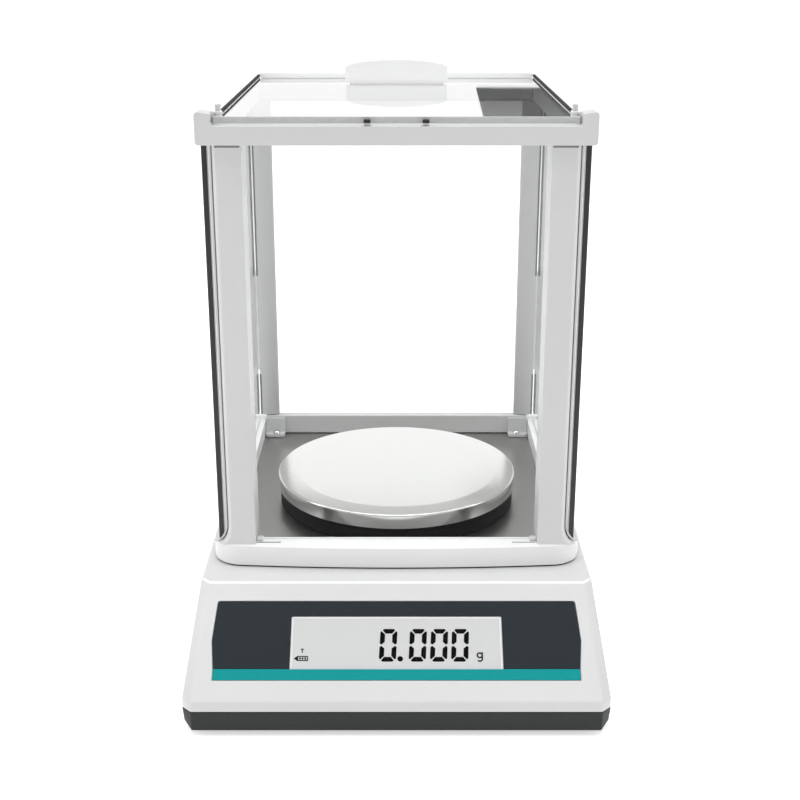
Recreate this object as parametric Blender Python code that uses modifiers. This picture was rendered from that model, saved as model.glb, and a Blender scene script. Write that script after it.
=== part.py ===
"""Analytical balance with a glass draught shield: the frame, the parts and what moves.

Metres, +Z up, +Y to the rear, +X to the right. The origin is on the table, under the middle of the body.
"""

import math

import bmesh
import bpy

MM = 0.001

# Pan and weighing chamber, which drive the overall size.
PAN_RADIUS = 63.5 * MM
PAN_SIDE_GAP = 16.5 * MM
PAN_FRONT_GAP = 10.5 * MM
PAN_REAR_GAP = 32.2 * MM
PAN_THICKNESS = 1.2 * MM
PAN_ROUND = 1.8 * MM
PAN_DEPTH = 8.1 * MM
PAN_TOP = 73.8 * MM
PAN_SLOPE_WIDTH = 11.0 * MM
PAN_SLOPE_DROP = 0.7 * MM
CHAMBER_HEIGHT = 191.8 * MM
GLASS = 3.0 * MM
CLEAR = 0.3 * MM

# Body.
FOOT_HEIGHT = 3.0 * MM
TRAY_HEIGHT = 9.6 * MM
TRAY_FLOOR = 2.5 * MM
SKIRT_HEIGHT = 4.7 * MM
DECK_Z = 55.3 * MM
WALL = 2.5 * MM
SIDE_MARGIN = 8.0 * MM
SIDE_DRAFT = 4.6 * MM
REAR_DRAFT = 4.0 * MM
REAR_DECK = 32.7 * MM
PANEL_ANGLE = math.radians(40)
CORNER_CHAMFER = 4.4 * MM
DECK_ROUND = 1.2 * MM

# Collar round the chamber, its floor and the sill at the front.
DECK_FRONT_STRIP = 13.4 * MM
SILL_DEPTH = 12.6 * MM
COLLAR_BOW = 3.0 * MM
COLLAR_HEIGHT = 10.5 * MM
COLLAR_SIDE = 9.5 * MM
COLLAR_REAR = 5.0 * MM
COLLAR_CORNER = 15.0 * MM
FLOOR_SHEET = 1.5 * MM
RING_WALL = 2.5 * MM
GROOVE_PLAY = 0.5 * MM
GROOVE_DEPTH = 2.5 * MM

# Draught shield.
DOOR_OFFSET = 3.3 * MM
COLUMN_WIDTH = 14.0 * MM
COLUMN_DEPTH = 18.0 * MM
COLUMN_PROUD = 1.5 * MM
PANE_SETBACK = 5.0 * MM
PANE_INLET = 2.0 * MM
REAR_COLUMN_WIDTH = 11.2 * MM
REAR_COLUMN_DEPTH = 5.7 * MM
REAR_RAIL_HEIGHT = 11.4 * MM
BRACKET_WIDTH = 12.0 * MM
BRACKET_HEIGHT = 10.2 * MM
BRACKET_SHEET = 1.6 * MM
BRACKET_FLANGE = 5.5 * MM
BRACKET_SCREW_INSET = 7.0 * MM
BAR_HEIGHT = 8.2 * MM
BAR_DEPTH = 11.0 * MM
BAR_OVERHANG = 3.5 * MM
EAR_HEIGHT = 6.1 * MM
FRAME_LIP = 1.4 * MM
RAIL_LEDGE = 3.0 * MM
LIP_HEIGHT = 1.3 * MM
DOOR_HANDLE_LENGTH = 61.0 * MM
DOOR_HANDLE_Z = 125.3 * MM
DOOR_HANDLE_REACH = 10.0 * MM
DOOR_OVERRUN = 15.0 * MM
DOOR_SETBACK = 2.5 * MM
LID_HANDLE_WIDTH = 55.0 * MM
LID_HANDLE_HEIGHT = 12.6 * MM
LID_HANDLE_THICKNESS = 3.5 * MM
LID_HANDLE_INSET = 35.0 * MM

# Operating panel, measured up the slope from its lower edge.
OVERLAY_THICKNESS = 0.6 * MM
STRIPE_LOW = 10.6 * MM
STRIPE_HIGH = 15.8 * MM
OVERLAY_KINK = 29.5 * MM
OVERLAY_HIGH = 48.8 * MM
OVERLAY_HALF_LOW = 83.9 * MM
OVERLAY_HALF_KINK = 85.2 * MM
OVERLAY_HALF_HIGH = 83.7 * MM
WINDOW_HALF = 49.0 * MM
WINDOW_HIGH = 41.5 * MM
WINDOW_LEDGE = 2.0 * MM
LCD_THICKNESS = 3.0 * MM

# Levelling feet.
FOOT_INSET_X = 24.0 * MM
FOOT_INSET_Y = 30.0 * MM
FOOT_PAD_RADIUS = 8.5 * MM
FOOT_WHEEL_RADIUS = 11.0 * MM
FOOT_WHEEL_HEIGHT = 4.6 * MM
FOOT_STUD_RADIUS = 3.0 * MM
FOOT_STUD_LENGTH = 12.0 * MM
FOOT_POCKET_DEPTH = 5.6 * MM
KNURLS = 24

# Weigh cell.
CELL_HALF_WIDTH = 25.0 * MM
CELL_LENGTH = 40.0 * MM
CELL_HEIGHT = 38.0 * MM
GUIDE_LENGTH = 32.0 * MM
GUIDE_THICKNESS = 1.2 * MM
GUIDE_HALF_WIDTH = 22.0 * MM
RECEIVER_HALF = 8.0 * MM
BEAM_HALF_WIDTH = 4.0 * MM
BEAM_HEIGHT = 4.0 * MM
BEAM_REACH = 20.0 * MM
MAGNET_RADIUS = 17.0 * MM
MAGNET_HEIGHT = 18.0 * MM
COIL_RADIUS = 12.2 * MM
COIL_WALL = 1.6 * MM
PIN_RADIUS = 2.0 * MM
STEM_RADIUS = 5.0 * MM
SUPPORT_RADIUS = 45.0 * MM

# Connectors and the bubble level at the rear.
SOCKET_X = -50.0 * MM
PORT_X = 30.0 * MM
CONNECTOR_Z = 30.0 * MM
SOCKET_RADIUS = 6.0 * MM
PORT_WIDTH = 31.0 * MM
PORT_HEIGHT = 12.5 * MM
CONNECTOR_DEPTH = 9.0 * MM
VIAL_RADIUS = 8.0 * MM

# Places that follow from the sizes above. Y is measured from the middle of the body.
INNER_HALF = PAN_RADIUS + PAN_SIDE_GAP
DOOR_INNER = INNER_HALF + DOOR_OFFSET
DOOR_OUTER = DOOR_INNER + GLASS
COLLAR_HALF = INNER_HALF + COLLAR_SIDE
BODY_HALF = COLLAR_HALF + SIDE_MARGIN
TRAY_TOP = FOOT_HEIGHT + TRAY_HEIGHT
SKIRT_TOP = TRAY_TOP + CLEAR + SKIRT_HEIGHT
PANEL_RISE = DECK_Z - SKIRT_TOP
PANEL_RUN = PANEL_RISE / math.tan(PANEL_ANGLE)
COLLAR_TOP = DECK_Z + CLEAR + COLLAR_HEIGHT
FLOOR_TOP = DECK_Z + CLEAR + FLOOR_SHEET
COLLAR_LENGTH = (
    SILL_DEPTH + PAN_FRONT_GAP + 2 * PAN_RADIUS + PAN_REAR_GAP + REAR_COLUMN_DEPTH + CLEAR + COLLAR_REAR
)
BODY_DEPTH = PANEL_RUN + DECK_FRONT_STRIP + COLLAR_LENGTH + REAR_DECK
FRONT = -BODY_DEPTH / 2
REAR = BODY_DEPTH / 2
COLLAR_FRONT = FRONT + PANEL_RUN + DECK_FRONT_STRIP
COLLAR_BACK = COLLAR_FRONT + COLLAR_LENGTH
SILL_REAR = COLLAR_FRONT + SILL_DEPTH
PAN_Y = SILL_REAR + PAN_FRONT_GAP + PAN_RADIUS
CHAMBER_REAR = PAN_Y + PAN_RADIUS + PAN_REAR_GAP
FRAME_REAR = CHAMBER_REAR + REAR_COLUMN_DEPTH
FRAME_LOW = COLLAR_TOP + CHAMBER_HEIGHT
PANE_FRONT = SILL_REAR - PANE_SETBACK
COLUMN_FRONT = PANE_FRONT - COLUMN_PROUD
COLUMN_OUTER = INNER_HALF + 2.2 * MM
COLUMN_INNER = COLUMN_OUTER - COLUMN_WIDTH
PANE_HALF = COLUMN_INNER + PANE_INLET
REAR_COLUMN_OUTER = DOOR_INNER - GROOVE_PLAY
REAR_COLUMN_INNER = REAR_COLUMN_OUTER - REAR_COLUMN_WIDTH
BAR_FRONT = COLUMN_FRONT - BAR_OVERHANG
FRAME_HALF = DOOR_OUTER + FRAME_LIP
LID_LOW = FRAME_LOW + BAR_HEIGHT + 2 * CLEAR
LID_TOP = LID_LOW + GLASS
LID_HALF = INNER_HALF + CLEAR / 3
LID_REAR = CHAMBER_REAR + REAR_COLUMN_DEPTH
DOOR_LOW = COLLAR_TOP - GROOVE_DEPTH + CLEAR
DOOR_HIGH = FRAME_LOW + GROOVE_DEPTH + 0.8 * MM
DOOR_FRONT = PANE_FRONT + DOOR_SETBACK
DOOR_REAR = FRAME_REAR + DOOR_OVERRUN
RING_RADIUS = PAN_RADIUS - 1.0 * MM
SUPPORT_TOP = PAN_TOP - PAN_THICKNESS - CLEAR
FOOT_X = BODY_HALF - FOOT_INSET_X
RECEIVER_REAR = PAN_Y + RECEIVER_HALF
CELL_FRONT = RECEIVER_REAR + GUIDE_LENGTH + 2 * CLEAR
CELL_REAR = CELL_FRONT + CELL_LENGTH
CELL_LOW = FOOT_HEIGHT + TRAY_FLOOR + CLEAR
CELL_TOP = CELL_LOW + CELL_HEIGHT
MAGNET_Y = CELL_REAR + BEAM_REACH
BEAM_LOW = CELL_LOW + MAGNET_HEIGHT + 3.0 * MM


def clear_scene():
    for obj in list(bpy.data.objects):
        bpy.data.objects.remove(obj, do_unlink=True)


def new_collection(name):
    collection = bpy.data.collections.new(name)
    bpy.context.scene.collection.children.link(collection)
    return collection


clear_scene()
PARTS = new_collection("analytical_balance")
CUTTERS = new_collection("cutters")


def material(name, colour, roughness, metallic=0.0, alpha=1.0):
    mat = bpy.data.materials.new(name)
    mat.use_nodes = True
    shader = mat.node_tree.nodes["Principled BSDF"]
    shader.inputs["Base Color"].default_value = (*colour, 1.0)
    shader.inputs["Roughness"].default_value = roughness
    shader.inputs["Metallic"].default_value = metallic
    shader.inputs["Alpha"].default_value = alpha
    mat.diffuse_color = (*colour, alpha)
    return mat


WHITE = material("white_plastic", (0.82, 0.82, 0.82), 0.45)
GREY = material("tray_grey", (0.045, 0.052, 0.052), 0.55)
SLATE = material("overlay_slate", (0.04, 0.05, 0.055), 0.4)
TEAL = material("stripe_teal", (0.007, 0.34, 0.36), 0.35)
LCD = material("lcd_grey", (0.68, 0.69, 0.68), 0.3)
CLEAR_LENS = material("clear_lens", (0.9, 0.92, 0.92), 0.05, 0.0, 0.25)
STEEL = material("polished_steel", (0.8, 0.8, 0.79), 0.15, 1.0)
BRUSHED = material("brushed_steel", (0.5, 0.5, 0.49), 0.35, 1.0)
CAST = material("cast_aluminium", (0.42, 0.43, 0.43), 0.5, 0.9)
GLASS_MAT = material("glass", (0.92, 0.95, 0.94), 0.02, 0.0, 0.2)
BLACK = material("black_plastic", (0.02, 0.02, 0.02), 0.5)
RUBBER = material("rubber", (0.03, 0.03, 0.03), 0.85)
BOARD = material("circuit_board", (0.02, 0.18, 0.08), 0.6)
COPPER = material("copper_wire", (0.6, 0.27, 0.12), 0.4, 1.0)


def smooth(obj, degrees=35):
    obj.data.shade_smooth()
    obj.data.set_sharp_from_angle(angle=math.radians(degrees))


def add_object(name, mesh, mat=None, parent=None):
    obj = bpy.data.objects.new(name, mesh)
    if mat is None:
        CUTTERS.objects.link(obj)
        obj.hide_render = True
        obj.display_type = "WIRE"
    else:
        PARTS.objects.link(obj)
        mesh.materials.append(mat)
    obj.parent = parent
    return obj


def finish_mesh(name, bm, mat, location, parent=None):
    bmesh.ops.recalc_face_normals(bm, faces=bm.faces)
    mesh = bpy.data.meshes.new(name)
    bm.to_mesh(mesh)
    bm.free()
    obj = add_object(name, mesh, mat, parent)
    obj.location = location
    return obj


def box(name, x, y, z, mat=None, parent=None, origin=None):
    """A box between the pairs x, y and z. Its origin is its centre, or the point given."""
    centre = [(pair[0] + pair[1]) / 2 for pair in (x, y, z)]
    place = centre if origin is None else origin
    bm = bmesh.new()
    bmesh.ops.create_cube(bm, size=1.0)
    for vert in bm.verts:
        for axis, pair in enumerate((x, y, z)):
            vert.co[axis] = vert.co[axis] * (pair[1] - pair[0]) + centre[axis] - place[axis]
    return finish_mesh(name, bm, mat, place, parent)


def cylinder(name, radius, z, at, mat=None, segments=48, parent=None, along="Z"):
    """A cylinder from z[0] to z[1] along its axis, through the point at on the other two axes."""
    bm = bmesh.new()
    bmesh.ops.create_cone(
        bm, cap_ends=True, segments=segments, radius1=radius, radius2=radius, depth=z[1] - z[0]
    )
    middle = (z[0] + z[1]) / 2
    place = (at[0], at[1], middle) if along == "Z" else (at[0], middle, at[1])
    obj = finish_mesh(name, bm, mat, place, parent)
    if along == "Y":
        obj.rotation_euler = (math.pi / 2, 0, 0)
    smooth(obj)
    return obj


def turned(name, profile, place, mat=None, steps=72, parent=None):
    """A profile of (radius, height) points, down the outer side and back up the inner, turned about Z."""
    mesh = bpy.data.meshes.new(name)
    points = [(radius, 0, height) for radius, height in profile]
    closed = profile[0][0] > 0
    count = len(points)
    edges = [(i, (i + 1) % count) for i in range(count if closed else count - 1)]
    mesh.from_pydata(points, edges, [])
    obj = add_object(name, mesh, mat, parent)
    obj.location = place
    screw = obj.modifiers.new("Screw", "SCREW")
    screw.axis = "Z"
    screw.steps = steps
    screw.render_steps = steps
    screw.use_merge_vertices = True
    screw.merge_threshold = 0.00001
    screw.use_smooth_shade = True
    return obj


def arc(centre, radius, start, end, count):
    """Points on a circle from the angle start to end, in degrees."""
    angles = [math.radians(start + (end - start) * i / count) for i in range(count + 1)]
    return [(centre[0] + radius * math.cos(a), centre[1] + radius * math.sin(a)) for a in angles]


def plate(name, outline, low, high, mat=None, parent=None):
    """A flat outline in X and Y made solid between the heights low and high."""
    curve = bpy.data.curves.new(name, "CURVE")
    curve.dimensions = "2D"
    curve.fill_mode = "BOTH"
    curve.extrude = (high - low) / 2
    spline = curve.splines.new("POLY")
    spline.points.add(len(outline) - 1)
    for point, (x, y) in zip(spline.points, outline):
        point.co = (x, y, 0, 1)
    spline.use_cyclic_u = True
    source = bpy.data.objects.new(name + "_curve", curve)
    CUTTERS.objects.link(source)
    bpy.context.view_layer.update()
    evaluated = source.evaluated_get(bpy.context.evaluated_depsgraph_get())
    mesh = bpy.data.meshes.new_from_object(evaluated)
    bpy.data.objects.remove(source, do_unlink=True)
    bm = bmesh.new()
    bm.from_mesh(mesh)
    bmesh.ops.remove_doubles(bm, verts=bm.verts, dist=0.000001)
    bpy.data.meshes.remove(mesh)
    return finish_mesh(name, bm, mat, (0, 0, (low + high) / 2), parent)


def bevel(obj, width, segments=2, degrees=30):
    modifier = obj.modifiers.new("Bevel", "BEVEL")
    modifier.width = width
    modifier.segments = segments
    modifier.limit_method = "ANGLE"
    modifier.angle_limit = math.radians(degrees)
    smooth(obj, 40)
    return obj


def boolean(obj, other, operation):
    modifier = obj.modifiers.new(operation.title(), "BOOLEAN")
    modifier.operation = operation
    modifier.solver = "EXACT"
    modifier.object = other
    return obj


def cut(obj, *cutters):
    for cutter in cutters:
        boolean(obj, cutter, "DIFFERENCE")
    return obj


def join(obj, *others):
    for other in others:
        boolean(obj, other, "UNION")
    return obj


def sides():
    """The two mirrored sides: a name and a sign of X."""
    return [("left", -1), ("right", 1)]


def ordered(a, b):
    return (min(a, b), max(a, b))


# ---------------------------------------------------------------- body


def front_slope_y(z, inset):
    """Y of the sloping front at height z, moved in by inset at right angles to it."""
    return FRONT + inset / math.sin(PANEL_ANGLE) + (z - SKIRT_TOP) / math.tan(PANEL_ANGLE)


def housing_shell(name, inset, low, mat=None):
    """The housing's outer form, or its inside when inset is a wall: a box with a skirt and a sloping front."""
    crease = SKIRT_TOP + (inset - inset / math.sin(PANEL_ANGLE)) * math.tan(PANEL_ANGLE)
    top = DECK_Z - inset
    half = BODY_HALF - inset
    bm = bmesh.new()
    bmesh.ops.create_cube(bm, size=1.0)
    for vert in bm.verts:
        vert.co.x *= 2 * half
        vert.co.y = vert.co.y * (BODY_DEPTH - 2 * inset)
        vert.co.z = low if vert.co.z < 0 else top
    geometry = bm.verts[:] + bm.edges[:] + bm.faces[:]
    bmesh.ops.bisect_plane(bm, geom=geometry, plane_co=(0, 0, crease), plane_no=(0, 0, 1))
    for vert in bm.verts:
        if vert.co.z > crease + MM:
            vert.co.x -= math.copysign(SIDE_DRAFT, vert.co.x)
            vert.co.y = front_slope_y(top, inset) if vert.co.y < 0 else vert.co.y - REAR_DRAFT
    corner = max(CORNER_CHAMFER - inset, MM)
    side_edges = [e for e in bm.edges if abs(e.verts[0].co.z - e.verts[1].co.z) > MM]
    bmesh.ops.bevel(
        bm, geom=side_edges, offset=corner, segments=3, profile=0.6, affect="EDGES", clamp_overlap=True
    )
    if inset == 0:
        rim = [
            e for e in bm.edges if min(v.co.z for v in e.verts) > top - 0.01 * MM
        ]
        bmesh.ops.bevel(
            bm, geom=rim, offset=DECK_ROUND, segments=2, profile=0.5, affect="EDGES", clamp_overlap=True
        )
    return finish_mesh(name, bm, mat, (0, 0, 0))


panel = bpy.data.objects.new("panel_plane", None)
PARTS.objects.link(panel)
panel.location = (0, FRONT, SKIRT_TOP)
panel.rotation_euler = (PANEL_ANGLE, 0, 0)


def overlay_outline(grow=0.0):
    """Outline of the overlay with its stripe, in the panel's plane, grown by grow."""
    low = STRIPE_LOW - grow
    high = OVERLAY_HIGH + grow
    return [
        (-OVERLAY_HALF_LOW - grow, low),
        (OVERLAY_HALF_LOW + grow, low),
        (OVERLAY_HALF_LOW + grow, STRIPE_HIGH),
        (OVERLAY_HALF_KINK + grow, OVERLAY_KINK),
        (OVERLAY_HALF_HIGH + grow, high),
        (-OVERLAY_HALF_HIGH - grow, high),
        (-OVERLAY_HALF_KINK - grow, OVERLAY_KINK),
        (-OVERLAY_HALF_LOW - grow, STRIPE_HIGH),
    ]


def housing():
    shell = housing_shell("upper_housing", 0.0, TRAY_TOP + CLEAR, WHITE)
    inside = housing_shell("housing_inside", WALL, TRAY_TOP - WALL)
    recess = plate(
        "overlay_recess", overlay_outline(CLEAR), -OVERLAY_THICKNESS - CLEAR, 5 * MM, None, panel
    )
    opening = box(
        "window_opening",
        (-WINDOW_HALF + WINDOW_LEDGE, WINDOW_HALF - WINDOW_LEDGE),
        (STRIPE_HIGH + WINDOW_LEDGE, WINDOW_HIGH - WINDOW_LEDGE),
        (-4 * WALL, 2 * WALL),
        None,
        panel,
    )
    stem_hole = cylinder("stem_hole", STEM_RADIUS + 7 * MM, (DECK_Z - 3 * WALL, DECK_Z + WALL), (0, PAN_Y))
    vial_hole = cylinder(
        "vial_hole", VIAL_RADIUS + CLEAR, (DECK_Z - 3 * WALL, DECK_Z + WALL), (0, REAR - REAR_DECK / 2)
    )
    socket_hole = cylinder(
        "socket_hole", SOCKET_RADIUS + CLEAR, (REAR - 5 * WALL, REAR + WALL), (SOCKET_X, CONNECTOR_Z), along="Y"
    )
    port_hole = box(
        "port_hole",
        (PORT_X - PORT_WIDTH / 2 - CLEAR, PORT_X + PORT_WIDTH / 2 + CLEAR),
        (REAR - 5 * WALL, REAR + WALL),
        (CONNECTOR_Z - PORT_HEIGHT / 2 - CLEAR, CONNECTOR_Z + PORT_HEIGHT / 2 + CLEAR),
    )
    cut(shell, inside, recess, opening, stem_hole, vial_hole, socket_hole, port_hole)
    smooth(shell, 30)


def foot_places():
    names = ("front_left", "front_right", "rear_left", "rear_right")
    spots = [(sx * FOOT_X, y) for y in (FRONT + FOOT_INSET_Y, REAR - FOOT_INSET_Y) for sx in (-1, 1)]
    return list(zip(names, spots))


def tray():
    """The shallow lower shell, open at the top, with a pocket for each foot's wheel."""
    low, high = FOOT_HEIGHT, TRAY_TOP
    body = box("bottom_tray", (-BODY_HALF, BODY_HALF), (FRONT, REAR), (low, high), GREY)
    upright = [e for e in body.data.edges if abs(
        body.data.vertices[e.vertices[0]].co.z - body.data.vertices[e.vertices[1]].co.z) > MM]
    bm = bmesh.new()
    bm.from_mesh(body.data)
    bm.edges.ensure_lookup_table()
    bmesh.ops.bevel(
        bm, geom=[bm.edges[e.index] for e in upright], offset=CORNER_CHAMFER, segments=3,
        profile=0.6, affect="EDGES"
    )
    bm.to_mesh(body.data)
    bm.free()
    wall = 2 * WALL
    inside = box(
        "tray_inside",
        (-BODY_HALF + wall, BODY_HALF - wall),
        (FRONT + wall, REAR - wall),
        (low + TRAY_FLOOR, high + WALL),
    )
    cut(body, inside)
    for name, (x, y) in foot_places():
        boss = cylinder(
            "foot_boss_" + name, FOOT_WHEEL_RADIUS + 3 * MM,
            (low + 0.5 * TRAY_FLOOR, low + FOOT_POCKET_DEPTH + 2 * MM), (x, y)
        )
        pocket = cylinder(
            "foot_pocket_" + name, FOOT_WHEEL_RADIUS + MM, (low - MM, low + FOOT_POCKET_DEPTH), (x, y)
        )
        bore = cylinder(
            "foot_bore_" + name, FOOT_STUD_RADIUS + CLEAR, (low, low + FOOT_POCKET_DEPTH + 5 * MM), (x, y), None, 24
        )
        join(body, boss)
        cut(body, pocket, bore)
    smooth(body, 30)


def feet():
    """Each foot is a rubber pad and, above it, a knurled wheel with the threaded stud."""
    for name, (x, y) in foot_places():
        cylinder("foot_pad_" + name, FOOT_PAD_RADIUS, (0, FOOT_HEIGHT + CLEAR), (x, y), RUBBER, 40)
        wheel_low = FOOT_HEIGHT + 2 * CLEAR
        points = []
        for i in range(2 * KNURLS):
            radius = FOOT_WHEEL_RADIUS - (0.7 * MM if i % 2 else 0)
            angle = math.pi * i / KNURLS
            points.append((radius * math.cos(angle), radius * math.sin(angle)))
        wheel = plate("foot_wheel_" + name, points, wheel_low, wheel_low + FOOT_WHEEL_HEIGHT, BLACK)
        wheel.location.x = x
        wheel.location.y = y
        stud = cylinder(
            "foot_stud_" + name, FOOT_STUD_RADIUS,
            (wheel_low + MM, wheel_low + FOOT_WHEEL_HEIGHT + FOOT_STUD_LENGTH), (x, y), None, 24
        )
        join(wheel, stud)


def panel_parts():
    top = 0.0
    low = top - OVERLAY_THICKNESS
    overlay = plate("front_overlay", overlay_outline(), low, top, SLATE, panel)
    stripe_room = box(
        "stripe_room",
        (-2 * OVERLAY_HALF_LOW, 2 * OVERLAY_HALF_LOW),
        (0, STRIPE_HIGH),
        (low - MM, top + MM),
        None,
        panel,
    )
    window_room = box(
        "window_room", (-WINDOW_HALF, WINDOW_HALF), (STRIPE_LOW, WINDOW_HIGH), (low - MM, top + MM), None, panel
    )
    cut(overlay, stripe_room, window_room)
    box(
        "accent_stripe",
        (-OVERLAY_HALF_LOW, OVERLAY_HALF_LOW),
        (STRIPE_LOW, STRIPE_HIGH - CLEAR / 2),
        (low, top),
        TEAL,
        panel,
    )
    box(
        "display_window",
        (-WINDOW_HALF + CLEAR / 2, WINDOW_HALF - CLEAR / 2),
        (STRIPE_HIGH + CLEAR / 2, WINDOW_HIGH - CLEAR / 2),
        (low, top),
        CLEAR_LENS,
        panel,
    )
    lcd_top = low - 2 * CLEAR
    room = WINDOW_LEDGE + CLEAR
    lcd_half = WINDOW_HALF - room
    lcd = box(
        "lcd_module",
        (-lcd_half, lcd_half),
        (STRIPE_HIGH + room, WINDOW_HIGH - room),
        (lcd_top - LCD_THICKNESS, lcd_top),
        LCD,
        panel,
    )
    bevel(lcd, 0.2 * MM, 1)
    board_top = lcd_top - LCD_THICKNESS - CLEAR
    box(
        "display_board",
        (-lcd_half - 6 * MM, lcd_half + 6 * MM),
        (STRIPE_HIGH - 2 * MM, WINDOW_HIGH + 2 * MM),
        (board_top - 1.6 * MM, board_top),
        BOARD,
        panel,
    )


# ---------------------------------------------------------------- chamber


def collar_outline():
    """Plan of the collar: a bowed front, large round corners at the front and small ones at the rear."""
    half, corner, front = COLLAR_HALF, COLLAR_CORNER, COLLAR_FRONT + COLLAR_BOW
    points = []
    points += arc((half - corner, front + corner), corner, 0, -90, 8)
    for i in range(1, 8):
        x = (half - corner) * (1 - i / 4)
        points.append((x, front - COLLAR_BOW * (1 - (x / (half - corner)) ** 2)))
    points += arc((-half + corner, front + corner), corner, -90, -180, 8)
    rear = 4 * MM
    points += arc((-half + rear, COLLAR_BACK - rear), rear, 180, 90, 4)
    points += arc((half - rear, COLLAR_BACK - rear), rear, 90, 0, 4)
    return points[::-1]


def chamber_base():
    low = DECK_Z + CLEAR
    collar = plate("chamber_collar", collar_outline(), low, COLLAR_TOP, WHITE)
    inside = box(
        "collar_inside",
        (-INNER_HALF, INNER_HALF),
        (SILL_REAR, FRAME_REAR + CLEAR),
        (low - MM, COLLAR_TOP + MM),
    )
    pane_slot = box(
        "pane_slot",
        (-PANE_HALF - CLEAR, PANE_HALF + CLEAR),
        (PANE_FRONT - CLEAR, PANE_FRONT + GLASS + CLEAR),
        (COLLAR_TOP - 1.3 * MM, COLLAR_TOP + MM),
    )
    cut(collar, inside, pane_slot)
    for side, sign in sides():
        groove = box(
            "door_groove_" + side,
            ordered(sign * (DOOR_INNER - GROOVE_PLAY), sign * (DOOR_OUTER + GROOVE_PLAY)),
            (DOOR_FRONT - CLEAR, COLLAR_BACK + MM),
            (COLLAR_TOP - GROOVE_DEPTH, COLLAR_TOP + MM),
        )
        cut(collar, groove)
    smooth(collar, 30)

    floor = box(
        "chamber_floor",
        (-INNER_HALF + CLEAR, INNER_HALF - CLEAR),
        (SILL_REAR + CLEAR, FRAME_REAR),
        (low, FLOOR_TOP),
        BRUSHED,
    )
    floor_hole = cylinder("floor_hole", STEM_RADIUS + 5 * MM, (low - MM, FLOOR_TOP + MM), (0, PAN_Y))
    cut(floor, floor_hole)

    ring_low = FLOOR_TOP + CLEAR
    ring_high = PAN_TOP - PAN_DEPTH - 2 * CLEAR
    turned(
        "draft_ring",
        [
            (RING_RADIUS, ring_high),
            (RING_RADIUS, ring_low),
            (RING_RADIUS - RING_WALL, ring_low),
            (RING_RADIUS - RING_WALL, ring_high),
        ],
        (0, PAN_Y, 0),
        BLACK,
    )
    rail_low = FLOOR_TOP + CLEAR
    box(
        "rear_rail",
        (-INNER_HALF + CLEAR, INNER_HALF - CLEAR),
        (CHAMBER_REAR, FRAME_REAR),
        (rail_low, rail_low + REAR_RAIL_HEIGHT),
        CAST,
    )


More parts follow.
